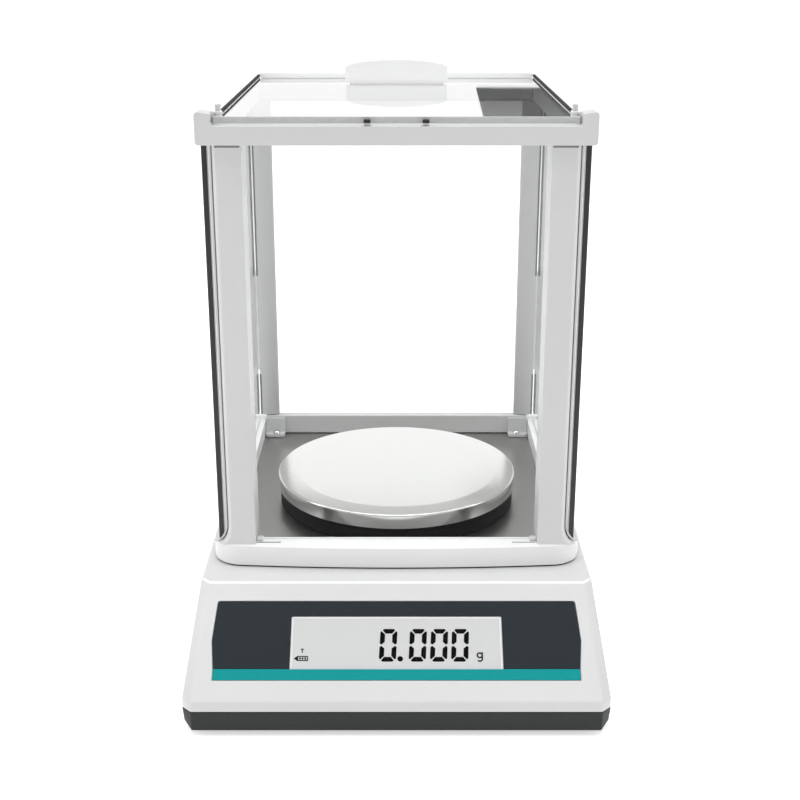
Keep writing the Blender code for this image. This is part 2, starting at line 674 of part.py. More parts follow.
def chamber_frame():
    """The four columns, the panes, and the bars and rails that they carry."""
    low = COLLAR_TOP + CLEAR
    high = FRAME_LOW - CLEAR
    rear_low = FLOOR_TOP + REAR_RAIL_HEIGHT + 2 * CLEAR
    for side, sign in sides():
        column = box(
            "front_column_" + side,
            ordered(sign * COLUMN_INNER, sign * COLUMN_OUTER),
            (COLUMN_FRONT, COLUMN_FRONT + COLUMN_DEPTH),
            (low, high),
            WHITE,
        )
        bevel(column, 1.2 * MM, 2)
        front_groove = box(
            "front_pane_groove_" + side,
            ordered(sign * (COLUMN_INNER - MM), sign * (PANE_HALF + CLEAR)),
            (PANE_FRONT - CLEAR, PANE_FRONT + GLASS + CLEAR),
            (low - MM, high + MM),
        )
        cut(column, front_groove)
        rear_column = box(
            "rear_column_" + side,
            ordered(sign * REAR_COLUMN_INNER, sign * REAR_COLUMN_OUTER),
            (CHAMBER_REAR, FRAME_REAR),
            (rear_low, high),
            WHITE,
        )
        pane_groove = box(
            "rear_pane_groove_" + side,
            ordered(sign * (REAR_COLUMN_INNER - MM), sign * (REAR_COLUMN_INNER + PANE_INLET + CLEAR)),
            (CHAMBER_REAR + 1.1 * MM, CHAMBER_REAR + GLASS + 1.7 * MM),
            (rear_low - MM, high + MM),
        )
        cut(rear_column, pane_groove)
        bracket_x = ordered(sign * (INNER_HALF - BRACKET_WIDTH), sign * (INNER_HALF - CLEAR))
        bracket_rear = CHAMBER_REAR - CLEAR
        bracket_low = FLOOR_TOP + CLEAR
        bracket_front = bracket_rear - BRACKET_SHEET
        bracket = box(
            "corner_bracket_" + side,
            bracket_x,
            (bracket_front, bracket_rear),
            (bracket_low, bracket_low + BRACKET_HEIGHT),
            WHITE,
        )
        flange = box(
            "bracket_flange_" + side,
            bracket_x,
            (bracket_front - BRACKET_FLANGE, bracket_rear),
            (bracket_low, bracket_low + BRACKET_SHEET),
        )
        join(bracket, flange)
        turned(
            "bracket_screw_" + side,
            [(0, 1.6 * MM), (1.2 * MM, 1.4 * MM), (2.1 * MM, 0.6 * MM), (2.2 * MM, 0), (0, 0)],
            (
                sign * (INNER_HALF - BRACKET_SCREW_INSET),
                bracket_front - BRACKET_FLANGE / 2,
                bracket_low + BRACKET_SHEET + CLEAR,
            ),
            STEEL,
            24,
        )

    box(
        "front_glass",
        (-PANE_HALF, PANE_HALF),
        (PANE_FRONT, PANE_FRONT + GLASS),
        (COLLAR_TOP - 1.0 * MM, FRAME_LOW + 2.0 * MM),
        GLASS_MAT,
    )
    box(
        "rear_glass",
        (-REAR_COLUMN_INNER - PANE_INLET, REAR_COLUMN_INNER + PANE_INLET),
        (CHAMBER_REAR + 1.4 * MM, CHAMBER_REAR + 1.4 * MM + GLASS),
        (rear_low, high),
        GLASS_MAT,
    )
    bar = box(
        "front_bar",
        (-FRAME_HALF, FRAME_HALF),
        (BAR_FRONT, BAR_FRONT + BAR_DEPTH),
        (FRAME_LOW, FRAME_LOW + BAR_HEIGHT),
        WHITE,
    )
    bevel(bar, 1.0 * MM, 2)
    for side, sign in sides():
        ear = box(
            "bar_ear_" + side,
            ordered(sign * (LID_HALF + 3 * CLEAR), sign * FRAME_HALF),
            (BAR_FRONT, BAR_FRONT + BAR_DEPTH),
            (FRAME_LOW + BAR_HEIGHT / 2, FRAME_LOW + BAR_HEIGHT + EAR_HEIGHT),
        )
        bevel(ear, 1.0 * MM, 2)
        join(bar, ear)
    bar_slot = box(
        "bar_slot",
        (-PANE_HALF - CLEAR, PANE_HALF + CLEAR),
        (PANE_FRONT - CLEAR, PANE_FRONT + GLASS + CLEAR),
        (FRAME_LOW - MM, FRAME_LOW + 2.3 * MM),
    )
    cut(bar, bar_slot)
    rail_top = LID_TOP + CLEAR + LIP_HEIGHT
    rail_front = BAR_FRONT + BAR_DEPTH + CLEAR
    for side, sign in sides():
        rail = box(
            "side_rail_" + side,
            ordered(sign * (INNER_HALF - RAIL_LEDGE), sign * FRAME_HALF),
            (rail_front, FRAME_REAR),
            (FRAME_LOW, rail_top),
            WHITE,
        )
        bevel(rail, 0.8 * MM, 2)
        lid_slot = box(
            "lid_slot_" + side,
            ordered(sign * (INNER_HALF - 2 * RAIL_LEDGE), sign * (LID_HALF + CLEAR)),
            (rail_front - MM, FRAME_REAR + MM),
            (LID_LOW - CLEAR, LID_TOP + CLEAR),
        )
        door_slot = box(
            "door_slot_" + side,
            ordered(sign * (DOOR_INNER - GROOVE_PLAY), sign * (DOOR_OUTER + GROOVE_PLAY)),
            (DOOR_FRONT - CLEAR, FRAME_REAR + MM),
            (FRAME_LOW - MM, DOOR_HIGH + CLEAR),
        )
        cut(rail, lid_slot, door_slot)
        cut(bar, door_slot)
        peg_x = sign * (INNER_HALF - 1.3 * MM)
        box(
            "rail_peg_" + side,
            (peg_x - 1.3 * MM, peg_x + 1.3 * MM),
            (rail_front + CLEAR, rail_front + 3.0 * MM),
            (rail_top + CLEAR, rail_top + 3.0 * MM),
            WHITE,
        )
        bumper_x = sign * 12.8 * MM
        box(
            "lid_bumper_" + side,
            (bumper_x - 1.5 * MM, bumper_x + 1.5 * MM),
            (BAR_FRONT + 0.8 * MM, PANE_FRONT - 2 * CLEAR),
            (FRAME_LOW + BAR_HEIGHT + CLEAR, LID_TOP - MM),
            RUBBER,
        )
    box(
        "rear_bar",
        (-INNER_HALF + RAIL_LEDGE + CLEAR, INNER_HALF - RAIL_LEDGE - CLEAR),
        (CHAMBER_REAR, FRAME_REAR),
        (FRAME_LOW, FRAME_LOW + BAR_HEIGHT),
        WHITE,
    )


def doors():
    """Each side door is a pane in its grooves, with a handle clamped on its rear edge."""
    handle_low = DOOR_HANDLE_Z - DOOR_HANDLE_LENGTH / 2
    handle_high = DOOR_HANDLE_Z + DOOR_HANDLE_LENGTH / 2
    for side, sign in sides():
        box(
            "door_glass_" + side,
            ordered(sign * DOOR_INNER, sign * DOOR_OUTER),
            (DOOR_FRONT, DOOR_REAR),
            (DOOR_LOW, DOOR_HIGH),
            GLASS_MAT,
        )
        handle = box(
            "door_handle_" + side,
            ordered(sign * (DOOR_INNER - 1.5 * MM), sign * (DOOR_OUTER + 1.8 * MM)),
            (DOOR_REAR - 10 * MM, DOOR_REAR + 4 * MM),
            (handle_low, handle_high),
            WHITE,
        )
        bevel(handle, 0.6 * MM, 2)
        fin = box(
            "handle_fin_" + side,
            ordered(sign * DOOR_OUTER, sign * (DOOR_OUTER + DOOR_HANDLE_REACH)),
            (DOOR_REAR, DOOR_REAR + 3.6 * MM),
            (handle_low + 0.4 * MM, handle_high - 0.4 * MM),
        )
        bevel(fin, 1.2 * MM, 2)
        slot = box(
            "handle_slot_" + side,
            ordered(sign * (DOOR_INNER - CLEAR), sign * (DOOR_OUTER + CLEAR)),
            (DOOR_REAR - 12 * MM, DOOR_REAR + CLEAR),
            (handle_low - MM, handle_high + MM),
        )
        join(handle, fin)
        cut(handle, slot)


def lid_handle_outline():
    """An upright plate with straight flanks and an arched top, in X and height."""
    half = LID_HANDLE_WIDTH / 2
    shoulder = LID_HANDLE_HEIGHT * 0.72
    sweep = 12
    top = []
    for i in range(sweep + 1):
        x = half * (1 - 2 * i / sweep)
        top.append((x, shoulder + (LID_HANDLE_HEIGHT - shoulder) * (1 - (x / half) ** 2) ** 0.5))
    return [(-half, 0.0), (half, 0.0)] + top


def lid():
    """The sliding top pane with its handle and the strip across its rear edge."""
    lid_front = PANE_FRONT + 0.3 * MM
    box("lid_glass", (-LID_HALF, LID_HALF), (lid_front, LID_REAR), (LID_LOW, LID_TOP), GLASS_MAT)
    handle = plate(
        "lid_handle",
        lid_handle_outline(),
        -LID_HANDLE_THICKNESS / 2,
        LID_HANDLE_THICKNESS / 2,
        WHITE,
    )
    handle.rotation_euler = (math.pi / 2, 0, 0)
    handle.location = (0, LID_REAR - LID_HANDLE_INSET, LID_TOP + CLEAR)
    bevel(handle, 0.8 * MM, 2, 50)
    strip_half = INNER_HALF - RAIL_LEDGE - 2 * CLEAR
    strip = box(
        "lid_rear_strip",
        (-strip_half, strip_half),
        (LID_REAR - 5.5 * MM, LID_REAR),
        (LID_TOP + CLEAR, LID_TOP + 3.2 * MM),
        WHITE,
    )
    bevel(strip, 0.5 * MM, 2)


# ---------------------------------------------------------------- pan and weigh cell


def pan():
    r, top, low = PAN_RADIUS, PAN_TOP, PAN_TOP - PAN_DEPTH
    inner = r - PAN_THICKNESS
    corner = (r - PAN_ROUND, top - PAN_SLOPE_DROP - PAN_ROUND)
    profile = [(0, top), (r - PAN_SLOPE_WIDTH, top)]
    profile += arc(corner, PAN_ROUND, 90, 0, 6)
    profile += [(r, low), (inner, low)]
    profile += arc(corner, PAN_ROUND - PAN_THICKNESS, 0, 90, 4)
    profile += [(r - PAN_SLOPE_WIDTH, top - PAN_THICKNESS), (0, top - PAN_THICKNESS)]
    turned("weighing_pan", profile, (0, PAN_Y, 0), STEEL, 96)

    stem_low = CELL_TOP + 3 * CLEAR
    support = [
        (0, SUPPORT_TOP),
        (SUPPORT_RADIUS, SUPPORT_TOP),
        (SUPPORT_RADIUS, SUPPORT_TOP - 2 * MM),
        (STEM_RADIUS + 4 * MM, SUPPORT_TOP - 5 * MM),
        (STEM_RADIUS, SUPPORT_TOP - 8 * MM),
        (STEM_RADIUS, stem_low),
        (PIN_RADIUS + CLEAR, stem_low),
        (PIN_RADIUS + CLEAR, stem_low + 10 * MM),
        (0, stem_low + 10 * MM),
    ]
    turned("pan_support", support, (0, PAN_Y, 0), CAST, 48)


def weigh_cell():
    """A block with two guides, the load receiver, a balance beam, and the magnet with its coil."""
    block = box(
        "cell_block",
        (-CELL_HALF_WIDTH, CELL_HALF_WIDTH),
        (CELL_FRONT, CELL_REAR),
        (CELL_LOW, CELL_TOP),
        CAST,
    )
    channel = box(
        "beam_channel",
        (-BEAM_HALF_WIDTH - 2 * MM, BEAM_HALF_WIDTH + 2 * MM),
        (CELL_FRONT - MM, CELL_REAR + MM),
        (BEAM_LOW - 3 * MM, BEAM_LOW + BEAM_HEIGHT + 3 * MM),
    )
    cut(block, channel)

    receiver = box(
        "load_receiver",
        (-RECEIVER_HALF, RECEIVER_HALF),
        (PAN_Y - RECEIVER_HALF, RECEIVER_REAR),
        (CELL_LOW + 2 * MM, CELL_TOP),
        CAST,
    )
    pin = cylinder("receiver_pin", PIN_RADIUS, (CELL_TOP - 2 * MM, CELL_TOP + 9 * MM), (0, PAN_Y), None, 24)
    join(receiver, pin)

    guide_front = RECEIVER_REAR + CLEAR
    hinge_y = CELL_FRONT - CLEAR
    levels = (("upper_guide", CELL_TOP - 2 * MM), ("lower_guide", CELL_LOW + 4 * MM))
    for name, z in levels:
        box(
            name,
            (-GUIDE_HALF_WIDTH, GUIDE_HALF_WIDTH),
            (guide_front, hinge_y),
            (z - GUIDE_THICKNESS, z),
            BRUSHED,
            None,
            (0, hinge_y, z - GUIDE_THICKNESS / 2),
        )
    box(
        "balance_beam",
        (-BEAM_HALF_WIDTH, BEAM_HALF_WIDTH),
        (RECEIVER_REAR + CLEAR, MAGNET_Y + BEAM_HALF_WIDTH),
        (BEAM_LOW, BEAM_LOW + BEAM_HEIGHT),
        CAST,
        None,
        (0, CELL_FRONT + 6 * MM, BEAM_LOW + BEAM_HEIGHT / 2),
    )
    gap_in = COIL_RADIUS - COIL_WALL - 1.2 * MM
    gap_out = COIL_RADIUS + 1.2 * MM
    magnet_top = CELL_LOW + MAGNET_HEIGHT
    gap_low = CELL_LOW + 4 * MM
    turned(
        "magnet_pot",
        [
            (0, magnet_top),
            (gap_in, magnet_top),
            (gap_in, gap_low),
            (gap_out, gap_low),
            (gap_out, magnet_top),
            (MAGNET_RADIUS, magnet_top),
            (MAGNET_RADIUS, CELL_LOW),
            (0, CELL_LOW),
        ],
        (0, MAGNET_Y, 0),
        STEEL,
        48,
    )
    coil_top = BEAM_LOW - CLEAR
    coil_low = gap_low + 3 * MM
    turned(
        "coil",
        [
            (COIL_RADIUS, coil_top),
            (COIL_RADIUS, coil_low),
            (COIL_RADIUS - COIL_WALL, coil_low),
            (COIL_RADIUS - COIL_WALL, coil_top),
        ],
        (0, MAGNET_Y, 0),
        COPPER,
        48,
    )


def electronics():
    board_low = FOOT_HEIGHT + TRAY_FLOOR + 4 * MM
    box(
        "main_board",
        (-0.7 * BODY_HALF, 0.7 * BODY_HALF),
        (FRONT + 0.26 * BODY_DEPTH, PAN_Y - RECEIVER_HALF - 8 * MM),
        (board_low, board_low + 1.6 * MM),
        BOARD,
    )
    socket = cylinder(
        "power_socket",
        SOCKET_RADIUS,
        (REAR - CONNECTOR_DEPTH - REAR_DRAFT, REAR - REAR_DRAFT),
        (SOCKET_X, CONNECTOR_Z),
        BLACK,
        40,
        along="Y",
    )
    socket_bore = cylinder(
        "socket_bore",
        SOCKET_RADIUS - 2.5 * MM,
        (REAR - REAR_DRAFT - 7 * MM, REAR + MM),
        (SOCKET_X, CONNECTOR_Z),
        along="Y",
    )
    cut(socket, socket_bore)
    port = box(
        "serial_port",
        (PORT_X - PORT_WIDTH / 2, PORT_X + PORT_WIDTH / 2),
        (REAR - CONNECTOR_DEPTH - REAR_DRAFT, REAR - REAR_DRAFT),
        (CONNECTOR_Z - PORT_HEIGHT / 2, CONNECTOR_Z + PORT_HEIGHT / 2),
        BLACK,
    )
    port_bore = box(
        "port_bore",
        (PORT_X - PORT_WIDTH / 2 + 4 * MM, PORT_X + PORT_WIDTH / 2 - 4 * MM),
        (REAR - REAR_DRAFT - 6 * MM, REAR + MM),
        (CONNECTOR_Z - PORT_HEIGHT / 2 + 2 * MM, CONNECTOR_Z + PORT_HEIGHT / 2 - 2 * MM),
    )
    cut(port, port_bore)
    cylinder(
        "level_vial", VIAL_RADIUS, (DECK_Z - 2 * WALL, DECK_Z + 1.2 * MM), (0, REAR - REAR_DECK / 2), CLEAR_LENS
    )


housing()
tray()
feet()
panel_parts()
chamber_base()
chamber_frame()
doors()
lid()
pan()
weigh_cell()
electronics()
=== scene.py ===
import math

import bmesh
import bpy
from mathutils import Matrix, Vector


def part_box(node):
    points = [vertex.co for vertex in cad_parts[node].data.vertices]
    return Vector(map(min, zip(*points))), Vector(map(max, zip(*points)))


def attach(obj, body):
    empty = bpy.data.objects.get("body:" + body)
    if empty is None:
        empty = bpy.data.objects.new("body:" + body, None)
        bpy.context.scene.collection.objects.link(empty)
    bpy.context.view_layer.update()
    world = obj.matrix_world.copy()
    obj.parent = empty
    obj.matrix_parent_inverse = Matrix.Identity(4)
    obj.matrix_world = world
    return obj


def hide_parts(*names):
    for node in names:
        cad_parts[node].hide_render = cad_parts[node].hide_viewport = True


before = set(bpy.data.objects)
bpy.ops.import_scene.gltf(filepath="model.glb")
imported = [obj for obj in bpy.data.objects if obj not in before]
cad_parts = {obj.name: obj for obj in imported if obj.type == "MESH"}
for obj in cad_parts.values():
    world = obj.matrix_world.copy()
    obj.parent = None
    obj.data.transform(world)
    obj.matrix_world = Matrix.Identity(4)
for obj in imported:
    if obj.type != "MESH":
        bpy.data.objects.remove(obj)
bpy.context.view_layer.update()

MM = 0.001

# Camera: how far it stands in front of the tray, how high, its tilt and its lens.
CAMERA_DISTANCE = 514 * MM
CAMERA_HEIGHT = 340 * MM
CAMERA_TILT = 19.1
CAMERA_LENS = 59.04
CAMERA_SHIFT = 0.0044

# Sizes that the looks share with the CAD.
CLEAR = 0.3 * MM
PANEL_ANGLE = math.radians(40)
SIDE_DRAFT = 4.6 * MM
REAR_DRAFT = 4.0 * MM
SKIRT_HEIGHT = 4.7 * MM
CORNER = 4.4 * MM
STRIPE = (10.6 * MM, 15.8 * MM)
OVERLAY_KINK = 29.5 * MM
OVERLAY_HIGH = 48.8 * MM
OVERLAY_HALVES = (83.9 * MM, 85.2 * MM, 83.7 * MM)
WINDOW_HALF = 49.0 * MM
WINDOW_HIGH = 41.5 * MM
FILM = 0.6 * MM
BRACKET_SHEET = 1.6 * MM
DOOR_PLAY = 0.5 * MM
LCD_INSET = 0.15 * MM
LUG_PLACE = 66.4 * MM
TRAY_FRONT_CUT = 8.4 * MM
PORT_PIN_PITCH = 2.77 * MM
PORT_NUT_PLACE = 12.5 * MM
PORT_NUT_RADIUS = 2.4 * MM

# Light. What the camera sees of the surroundings is brighter than what they give the piece.
SKY_SEEN = 1.05
SKY_LIGHT = 0.56
FLOOR_GLOW = 0.15
FLOOR_GLOW_SEEN = 0.4
LIGHTS = (
    ("top_softbox", (0.0, 0.1, 1.5), (0.0, 0.0, 0.1), (1.8, 1.4), 14.5),
    ("left_softbox", (-1.4, -0.4, 0.8), (0.0, 0.0, 0.12), (0.8, 1.2), 5.5),
    ("right_softbox", (1.4, -0.4, 0.8), (0.0, 0.0, 0.12), (0.8, 1.2), 4.0),
    ("back_softbox", (0.0, 1.6, 0.53), (0.0, 0.0, 0.53), (4.4, 0.66), 4.9),
)
PANE_TINT = (0.985, 0.992, 0.988)
PANE_IOR = 1.45


def middle_of(node):
    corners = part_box(node)
    return (corners[0] + corners[1]) / 2


def radius_of(node):
    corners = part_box(node)
    return (corners[1].x - corners[0].x) / 2


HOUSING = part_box("upper_housing")
FRONT = HOUSING[0].y
REAR = HOUSING[1].y
BODY_HALF = HOUSING[1].x
DECK = HOUSING[1].z
SKIRT_TOP = HOUSING[0].z + SKIRT_HEIGHT
PAN_MIDDLE = middle_of("weighing_pan")
PAN_PLACE = (PAN_MIDDLE.x, PAN_MIDDLE.y, 0)
CORNERS = ("front_left", "front_right", "rear_left", "rear_right")
AXIS_TILT = -math.pi / 2


# ---------------------------------------------------------------- camera, light and stage


def make_camera():
    data = bpy.data.cameras.new("camera")
    data.sensor_width = 36.0
    data.lens = CAMERA_LENS
    data.shift_x = CAMERA_SHIFT
    camera = bpy.data.objects.new("camera", data)
    camera.location = (0.0, FRONT - CAMERA_DISTANCE, CAMERA_HEIGHT)
    camera.rotation_euler = (math.radians(90 - CAMERA_TILT), 0.0, 0.0)
    bpy.context.scene.collection.objects.link(camera)
    bpy.context.scene.camera = camera


def area_light(name, place, target, size, power):
    data = bpy.data.lights.new(name, "AREA")
    data.shape = "RECTANGLE"
    data.size, data.size_y = size
    data.energy = power
    light = bpy.data.objects.new(name, data)
    light.location = place
    direction = Vector(target) - Vector(place)
    light.rotation_euler = direction.to_track_quat("-Z", "Y").to_euler()
    bpy.context.scene.collection.objects.link(light)


def new_material(name):
    material = bpy.data.materials.new(name)
    material.use_nodes = True
    return material, material.node_tree.nodes, material.node_tree.links


def math_node(nodes, links, operation, first, second, third=0.0):
    """A math node. Each value is a number or a socket."""
    node = nodes.new("ShaderNodeMath")
    node.operation = operation
    for i, value in enumerate((first, second, third)):
        if isinstance(value, (int, float)):
            node.inputs[i].default_value = value
        else:
            links.new(value, node.inputs[i])
    return node


def make_world():
    """A bright, even studio: white to the camera, darker below the horizon to everything else."""
    world = bpy.data.worlds.new("studio")
    world.use_nodes = True
    nodes = world.node_tree.nodes
    links = world.node_tree.links
    nodes.clear()
    out = nodes.new("ShaderNodeOutputWorld")
    seen = nodes.new("ShaderNodeBackground")
    seen.inputs["Color"].default_value = (1.0, 1.0, 1.0, 1.0)
    seen.inputs["Strength"].default_value = SKY_SEEN
    lit = nodes.new("ShaderNodeBackground")
    lit.inputs["Strength"].default_value = SKY_LIGHT
    ramp = nodes.new("ShaderNodeValToRGB")
    ramp.color_ramp.elements[0].position = 0.30
    ramp.color_ramp.elements[0].color = (0.55, 0.55, 0.56, 1.0)
    ramp.color_ramp.elements[1].position = 0.75
    ramp.color_ramp.elements[1].color = (1.0, 1.0, 1.0, 1.0)
    coordinates = nodes.new("ShaderNodeTexCoord")
    split = nodes.new("ShaderNodeSeparateXYZ")
    links.new(coordinates.outputs["Generated"], split.inputs[0])
    place = math_node(nodes, links, "MULTIPLY_ADD", split.outputs["Z"], 0.5, 0.5)
    links.new(place.outputs[0], ramp.inputs["Fac"])
    links.new(ramp.outputs["Color"], lit.inputs["Color"])
    path = nodes.new("ShaderNodeLightPath")
    mix = nodes.new("ShaderNodeMixShader")
    links.new(path.outputs["Is Camera Ray"], mix.inputs["Fac"])
    links.new(lit.outputs[0], mix.inputs[1])
    links.new(seen.outputs[0], mix.inputs[2])
    links.new(mix.outputs[0], out.inputs["Surface"])
    bpy.context.scene.world = world


def make_stage():
    """A white floor that glows more where it is seen directly, so that it has no horizon."""
    material, nodes, links = new_material("stage_white")
    shader = nodes["Principled BSDF"]
    shader.inputs["Base Color"].default_value = (0.97, 0.97, 0.97, 1.0)
    shader.inputs["Roughness"].default_value = 0.9
    shader.inputs["Specular IOR Level"].default_value = 0.1
    shader.inputs["Emission Color"].default_value = (1.0, 1.0, 1.0, 1.0)
    path = nodes.new("ShaderNodeLightPath")
    glow = math_node(nodes, links, "MULTIPLY_ADD", path.outputs["Is Camera Ray"], FLOOR_GLOW_SEEN, FLOOR_GLOW)
    links.new(glow.outputs[0], shader.inputs["Emission Strength"])
    bm = bmesh.new()
    bmesh.ops.create_grid(bm, x_segments=1, y_segments=1, size=4.0)
    mesh = bpy.data.meshes.new("stage_floor")
    bm.to_mesh(mesh)
    bm.free()
    mesh.materials.append(material)
    floor = bpy.data.objects.new("stage_floor", mesh)
    bpy.context.scene.collection.objects.link(floor)


def make_flag():
    """A dark card behind and to the right, hidden from the camera: only reflections show it."""
    material, nodes, _ = new_material("stage_dark")
    shader = nodes["Principled BSDF"]
    shader.inputs["Base Color"].default_value = (0.03, 0.03, 0.03, 1.0)
    shader.inputs["Roughness"].default_value = 0.8
    bm = bmesh.new()
    corners = [(0.0683, 0.5, 0.3148), (0.16, 0.5, 0.3148), (0.16, 0.5, 0.345), (0.0768, 0.5, 0.345)]
    bm.faces.new([bm.verts.new(corner) for corner in corners])
    mesh = bpy.data.meshes.new("stage_flag")
    bm.to_mesh(mesh)
    bm.free()
    mesh.materials.append(material)
    flag = bpy.data.objects.new("stage_flag", mesh)
    bpy.context.scene.collection.objects.link(flag)
    flag.visible_camera = False


make_camera()
make_world()
make_stage()
make_flag()
for light in LIGHTS:
    area_light(*light)
bpy.context.scene.view_settings.view_transform = "Standard"


# ---------------------------------------------------------------- materials


def noise(nodes, links, scale, detail=4.0, stretch=(1.0, 1.0, 1.0)):
    """Noise on the piece's own coordinates, stretched along its axes."""
    coordinates = nodes.new("ShaderNodeTexCoord")
    mapping = nodes.new("ShaderNodeMapping")
    mapping.inputs["Scale"].default_value = stretch
    texture = nodes.new("ShaderNodeTexNoise")
    texture.inputs["Scale"].default_value = scale
    texture.inputs["Detail"].default_value = detail
    links.new(coordinates.outputs["Object"], mapping.inputs["Vector"])
    links.new(mapping.outputs["Vector"], texture.inputs["Vector"])
    return texture.outputs["Fac"]


def spread(nodes, links, source, low_value, high_value):
    """A number between two values, driven by a noise that lies mostly between 0.3 and 0.7."""
    node = nodes.new("ShaderNodeMapRange")
    node.inputs["From Min"].default_value = 0.3
    node.inputs["From Max"].default_value = 0.7
    node.inputs["To Min"].default_value = low_value
    node.inputs["To Max"].default_value = high_value
    links.new(source, node.inputs["Value"])
    return node.outputs["Result"]


def tinted(nodes, links, source, colour, amount):
    """The colour, varied in brightness by amount each way."""
    node = nodes.new("ShaderNodeMix")
    node.data_type = "RGBA"
    darker = [max(c * (1 - amount), 0.0) for c in colour]
    lighter = [min(c * (1 + amount), 1.0) for c in colour]
    node.inputs["A"].default_value = (*darker, 1.0)
    node.inputs["B"].default_value = (*lighter, 1.0)
    links.new(source, node.inputs["Factor"])
    return node.outputs["Result"]


def surface(
    name,
    colour,
    roughness,
    metallic=0.0,
    grain=900.0,
    depth=0.02,
    bump=0.15,
    vary=0.03,
    rough_vary=0.05,
    stretch=(1.0, 1.0, 1.0),
    specular=0.5,
    anisotropic=0.0,
    drift_scale=18.0,
    glow=0.0,
):
    """A solid surface: a tone that drifts, a fine grain as bump, and gloss that follows the grain. Glow is
    painted light: an emission in the surface's own colour.
    """
    material, nodes, links = new_material(name)
    shader = nodes["Principled BSDF"]
    shader.inputs["Metallic"].default_value = metallic
    shader.inputs["Specular IOR Level"].default_value = specular
    shader.inputs["Anisotropic"].default_value = anisotropic
    shader.inputs["Emission Color"].default_value = (*colour, 1.0)
    shader.inputs["Emission Strength"].default_value = glow
    drift = noise(nodes, links, drift_scale, 3.0, stretch)
    fine = noise(nodes, links, grain, 5.0, stretch)
    links.new(tinted(nodes, links, drift, colour, vary), shader.inputs["Base Color"])
    links.new(
        spread(nodes, links, fine, roughness - rough_vary, roughness + rough_vary),
        shader.inputs["Roughness"],
    )
    relief = nodes.new("ShaderNodeBump")
    relief.inputs["Strength"].default_value = bump
    relief.inputs["Distance"].default_value = depth * MM
    links.new(fine, relief.inputs["Height"])
    links.new(relief.outputs["Normal"], shader.inputs["Normal"])
    return material


def clear_pane(name, tint, haze=0.0, shine=1.0):
    """Clear sheet. Its gloss is Fresnel's times shine, on the side that faces the ray only."""
    material, nodes, links = new_material(name)
    nodes.remove(nodes["Principled BSDF"])
    out = nodes["Material Output"]
    through = nodes.new("ShaderNodeBsdfTransparent")
    through.inputs["Color"].default_value = (*tint, 1.0)
    gloss = nodes.new("ShaderNodeBsdfGlossy")
    gloss.inputs["Color"].default_value = (1.0, 1.0, 1.0, 1.0)
    smudge = noise(nodes, links, 35.0, 4.0)
    links.new(spread(nodes, links, smudge, 0.01, 0.05 + haze), gloss.inputs["Roughness"])
    edge = nodes.new("ShaderNodeFresnel")
    edge.inputs["IOR"].default_value = PANE_IOR
    geometry = nodes.new("ShaderNodeNewGeometry")
    facing = math_node(nodes, links, "SUBTRACT", 1.0, geometry.outputs["Backfacing"])
    share = math_node(nodes, links, "MULTIPLY", edge.outputs["Fac"], facing.outputs[0])
    scaled = math_node(nodes, links, "MULTIPLY", share.outputs[0], shine)
    scaled.use_clamp = True
    mix = nodes.new("ShaderNodeMixShader")
    links.new(scaled.outputs[0], mix.inputs["Fac"])
    links.new(through.outputs[0], mix.inputs[1])
    links.new(gloss.outputs[0], mix.inputs[2])
    links.new(mix.outputs[0], out.inputs["Surface"])
    return material


MOULDED = {"grain": 1400.0, "depth": 0.015, "bump": 0.25}
FINE = {"grain": 2200.0, "depth": 0.006, "bump": 0.3}
PRINTED = {"grain": 3000.0, "depth": 0.002, "bump": 0.1}
WHITE = surface("moulded_white", (0.725, 0.725, 0.73), 0.42, **MOULDED)
# Lid handle, side rails and the lid's rear strip: white with a slight glow, which is painted light.
HANDLE_WHITE = surface(
    "handle_white", (0.94, 0.94, 0.94), 0.4, grain=1400.0, depth=0.015, bump=0.2, glow=0.02
)
COLLAR_WHITE = surface("collar_white", (0.88, 0.88, 0.88), 0.42, **MOULDED)
# Painted highlight: a brighter, glowing white for the housing's rim bevel and the collar's flat top faces.
PAINTED_HIGHLIGHT_WHITE = surface("painted_highlight_white", (0.93, 0.93, 0.93), 0.35, grain=1400.0, depth=0.01, bump=0.1, glow=0.03)
BRIGHT = surface("moulded_bright_white", (0.93, 0.93, 0.93), 0.42, grain=1400.0, depth=0.015, bump=0.2)
FRAME_WHITE = surface("frame_white", (0.68, 0.68, 0.685), 0.38, grain=1600.0, depth=0.01, bump=0.2)
# Painted shade: a darker copy of the frame white for the rear columns, which stand in shade.
REAR_SHADED_WHITE = surface("rear_frame_shaded_white", (0.56, 0.56, 0.56), 0.42, grain=1500.0, depth=0.01, bump=0.2)
TRAY = surface(
    "tray_grey_green", (0.026, 0.031, 0.030), 0.55, specular=0.35, grain=1100.0, depth=0.02, bump=0.4,
    vary=0.06,
)
SLATE = surface("overlay_slate_film", (0.014, 0.021, 0.027), 0.5, specular=0.22, **FINE)
TEAL = surface("stripe_teal_film", (0.002, 0.31, 0.315), 0.5, specular=0.15, **FINE)
LCD = surface("lcd_panel_grey", (0.70, 0.705, 0.705), 0.5, **PRINTED, vary=0.015)
LCD_BORDER = surface("lcd_border_white", (0.98, 0.98, 0.98), 0.4, **PRINTED)
SEGMENT = surface("lcd_segment_black", (0.001, 0.001, 0.001), 0.7, specular=0.05, **PRINTED)
ICON = surface("lcd_icon_grey", (0.012, 0.012, 0.012), 0.6, specular=0.1, **PRINTED)
UNIT = surface("lcd_unit_grey", (0.03, 0.03, 0.03), 0.6, specular=0.1, **PRINTED)
POLISH = {"grain": 700.0, "depth": 0.004, "bump": 0.08, "vary": 0.01, "rough_vary": 0.03}
STEEL = surface("polished_steel", (0.80, 0.80, 0.79), 0.14, 1.0, **POLISH)
SATIN = surface("satin_steel", (0.92, 0.92, 0.91), 0.18, 1.0, **POLISH)
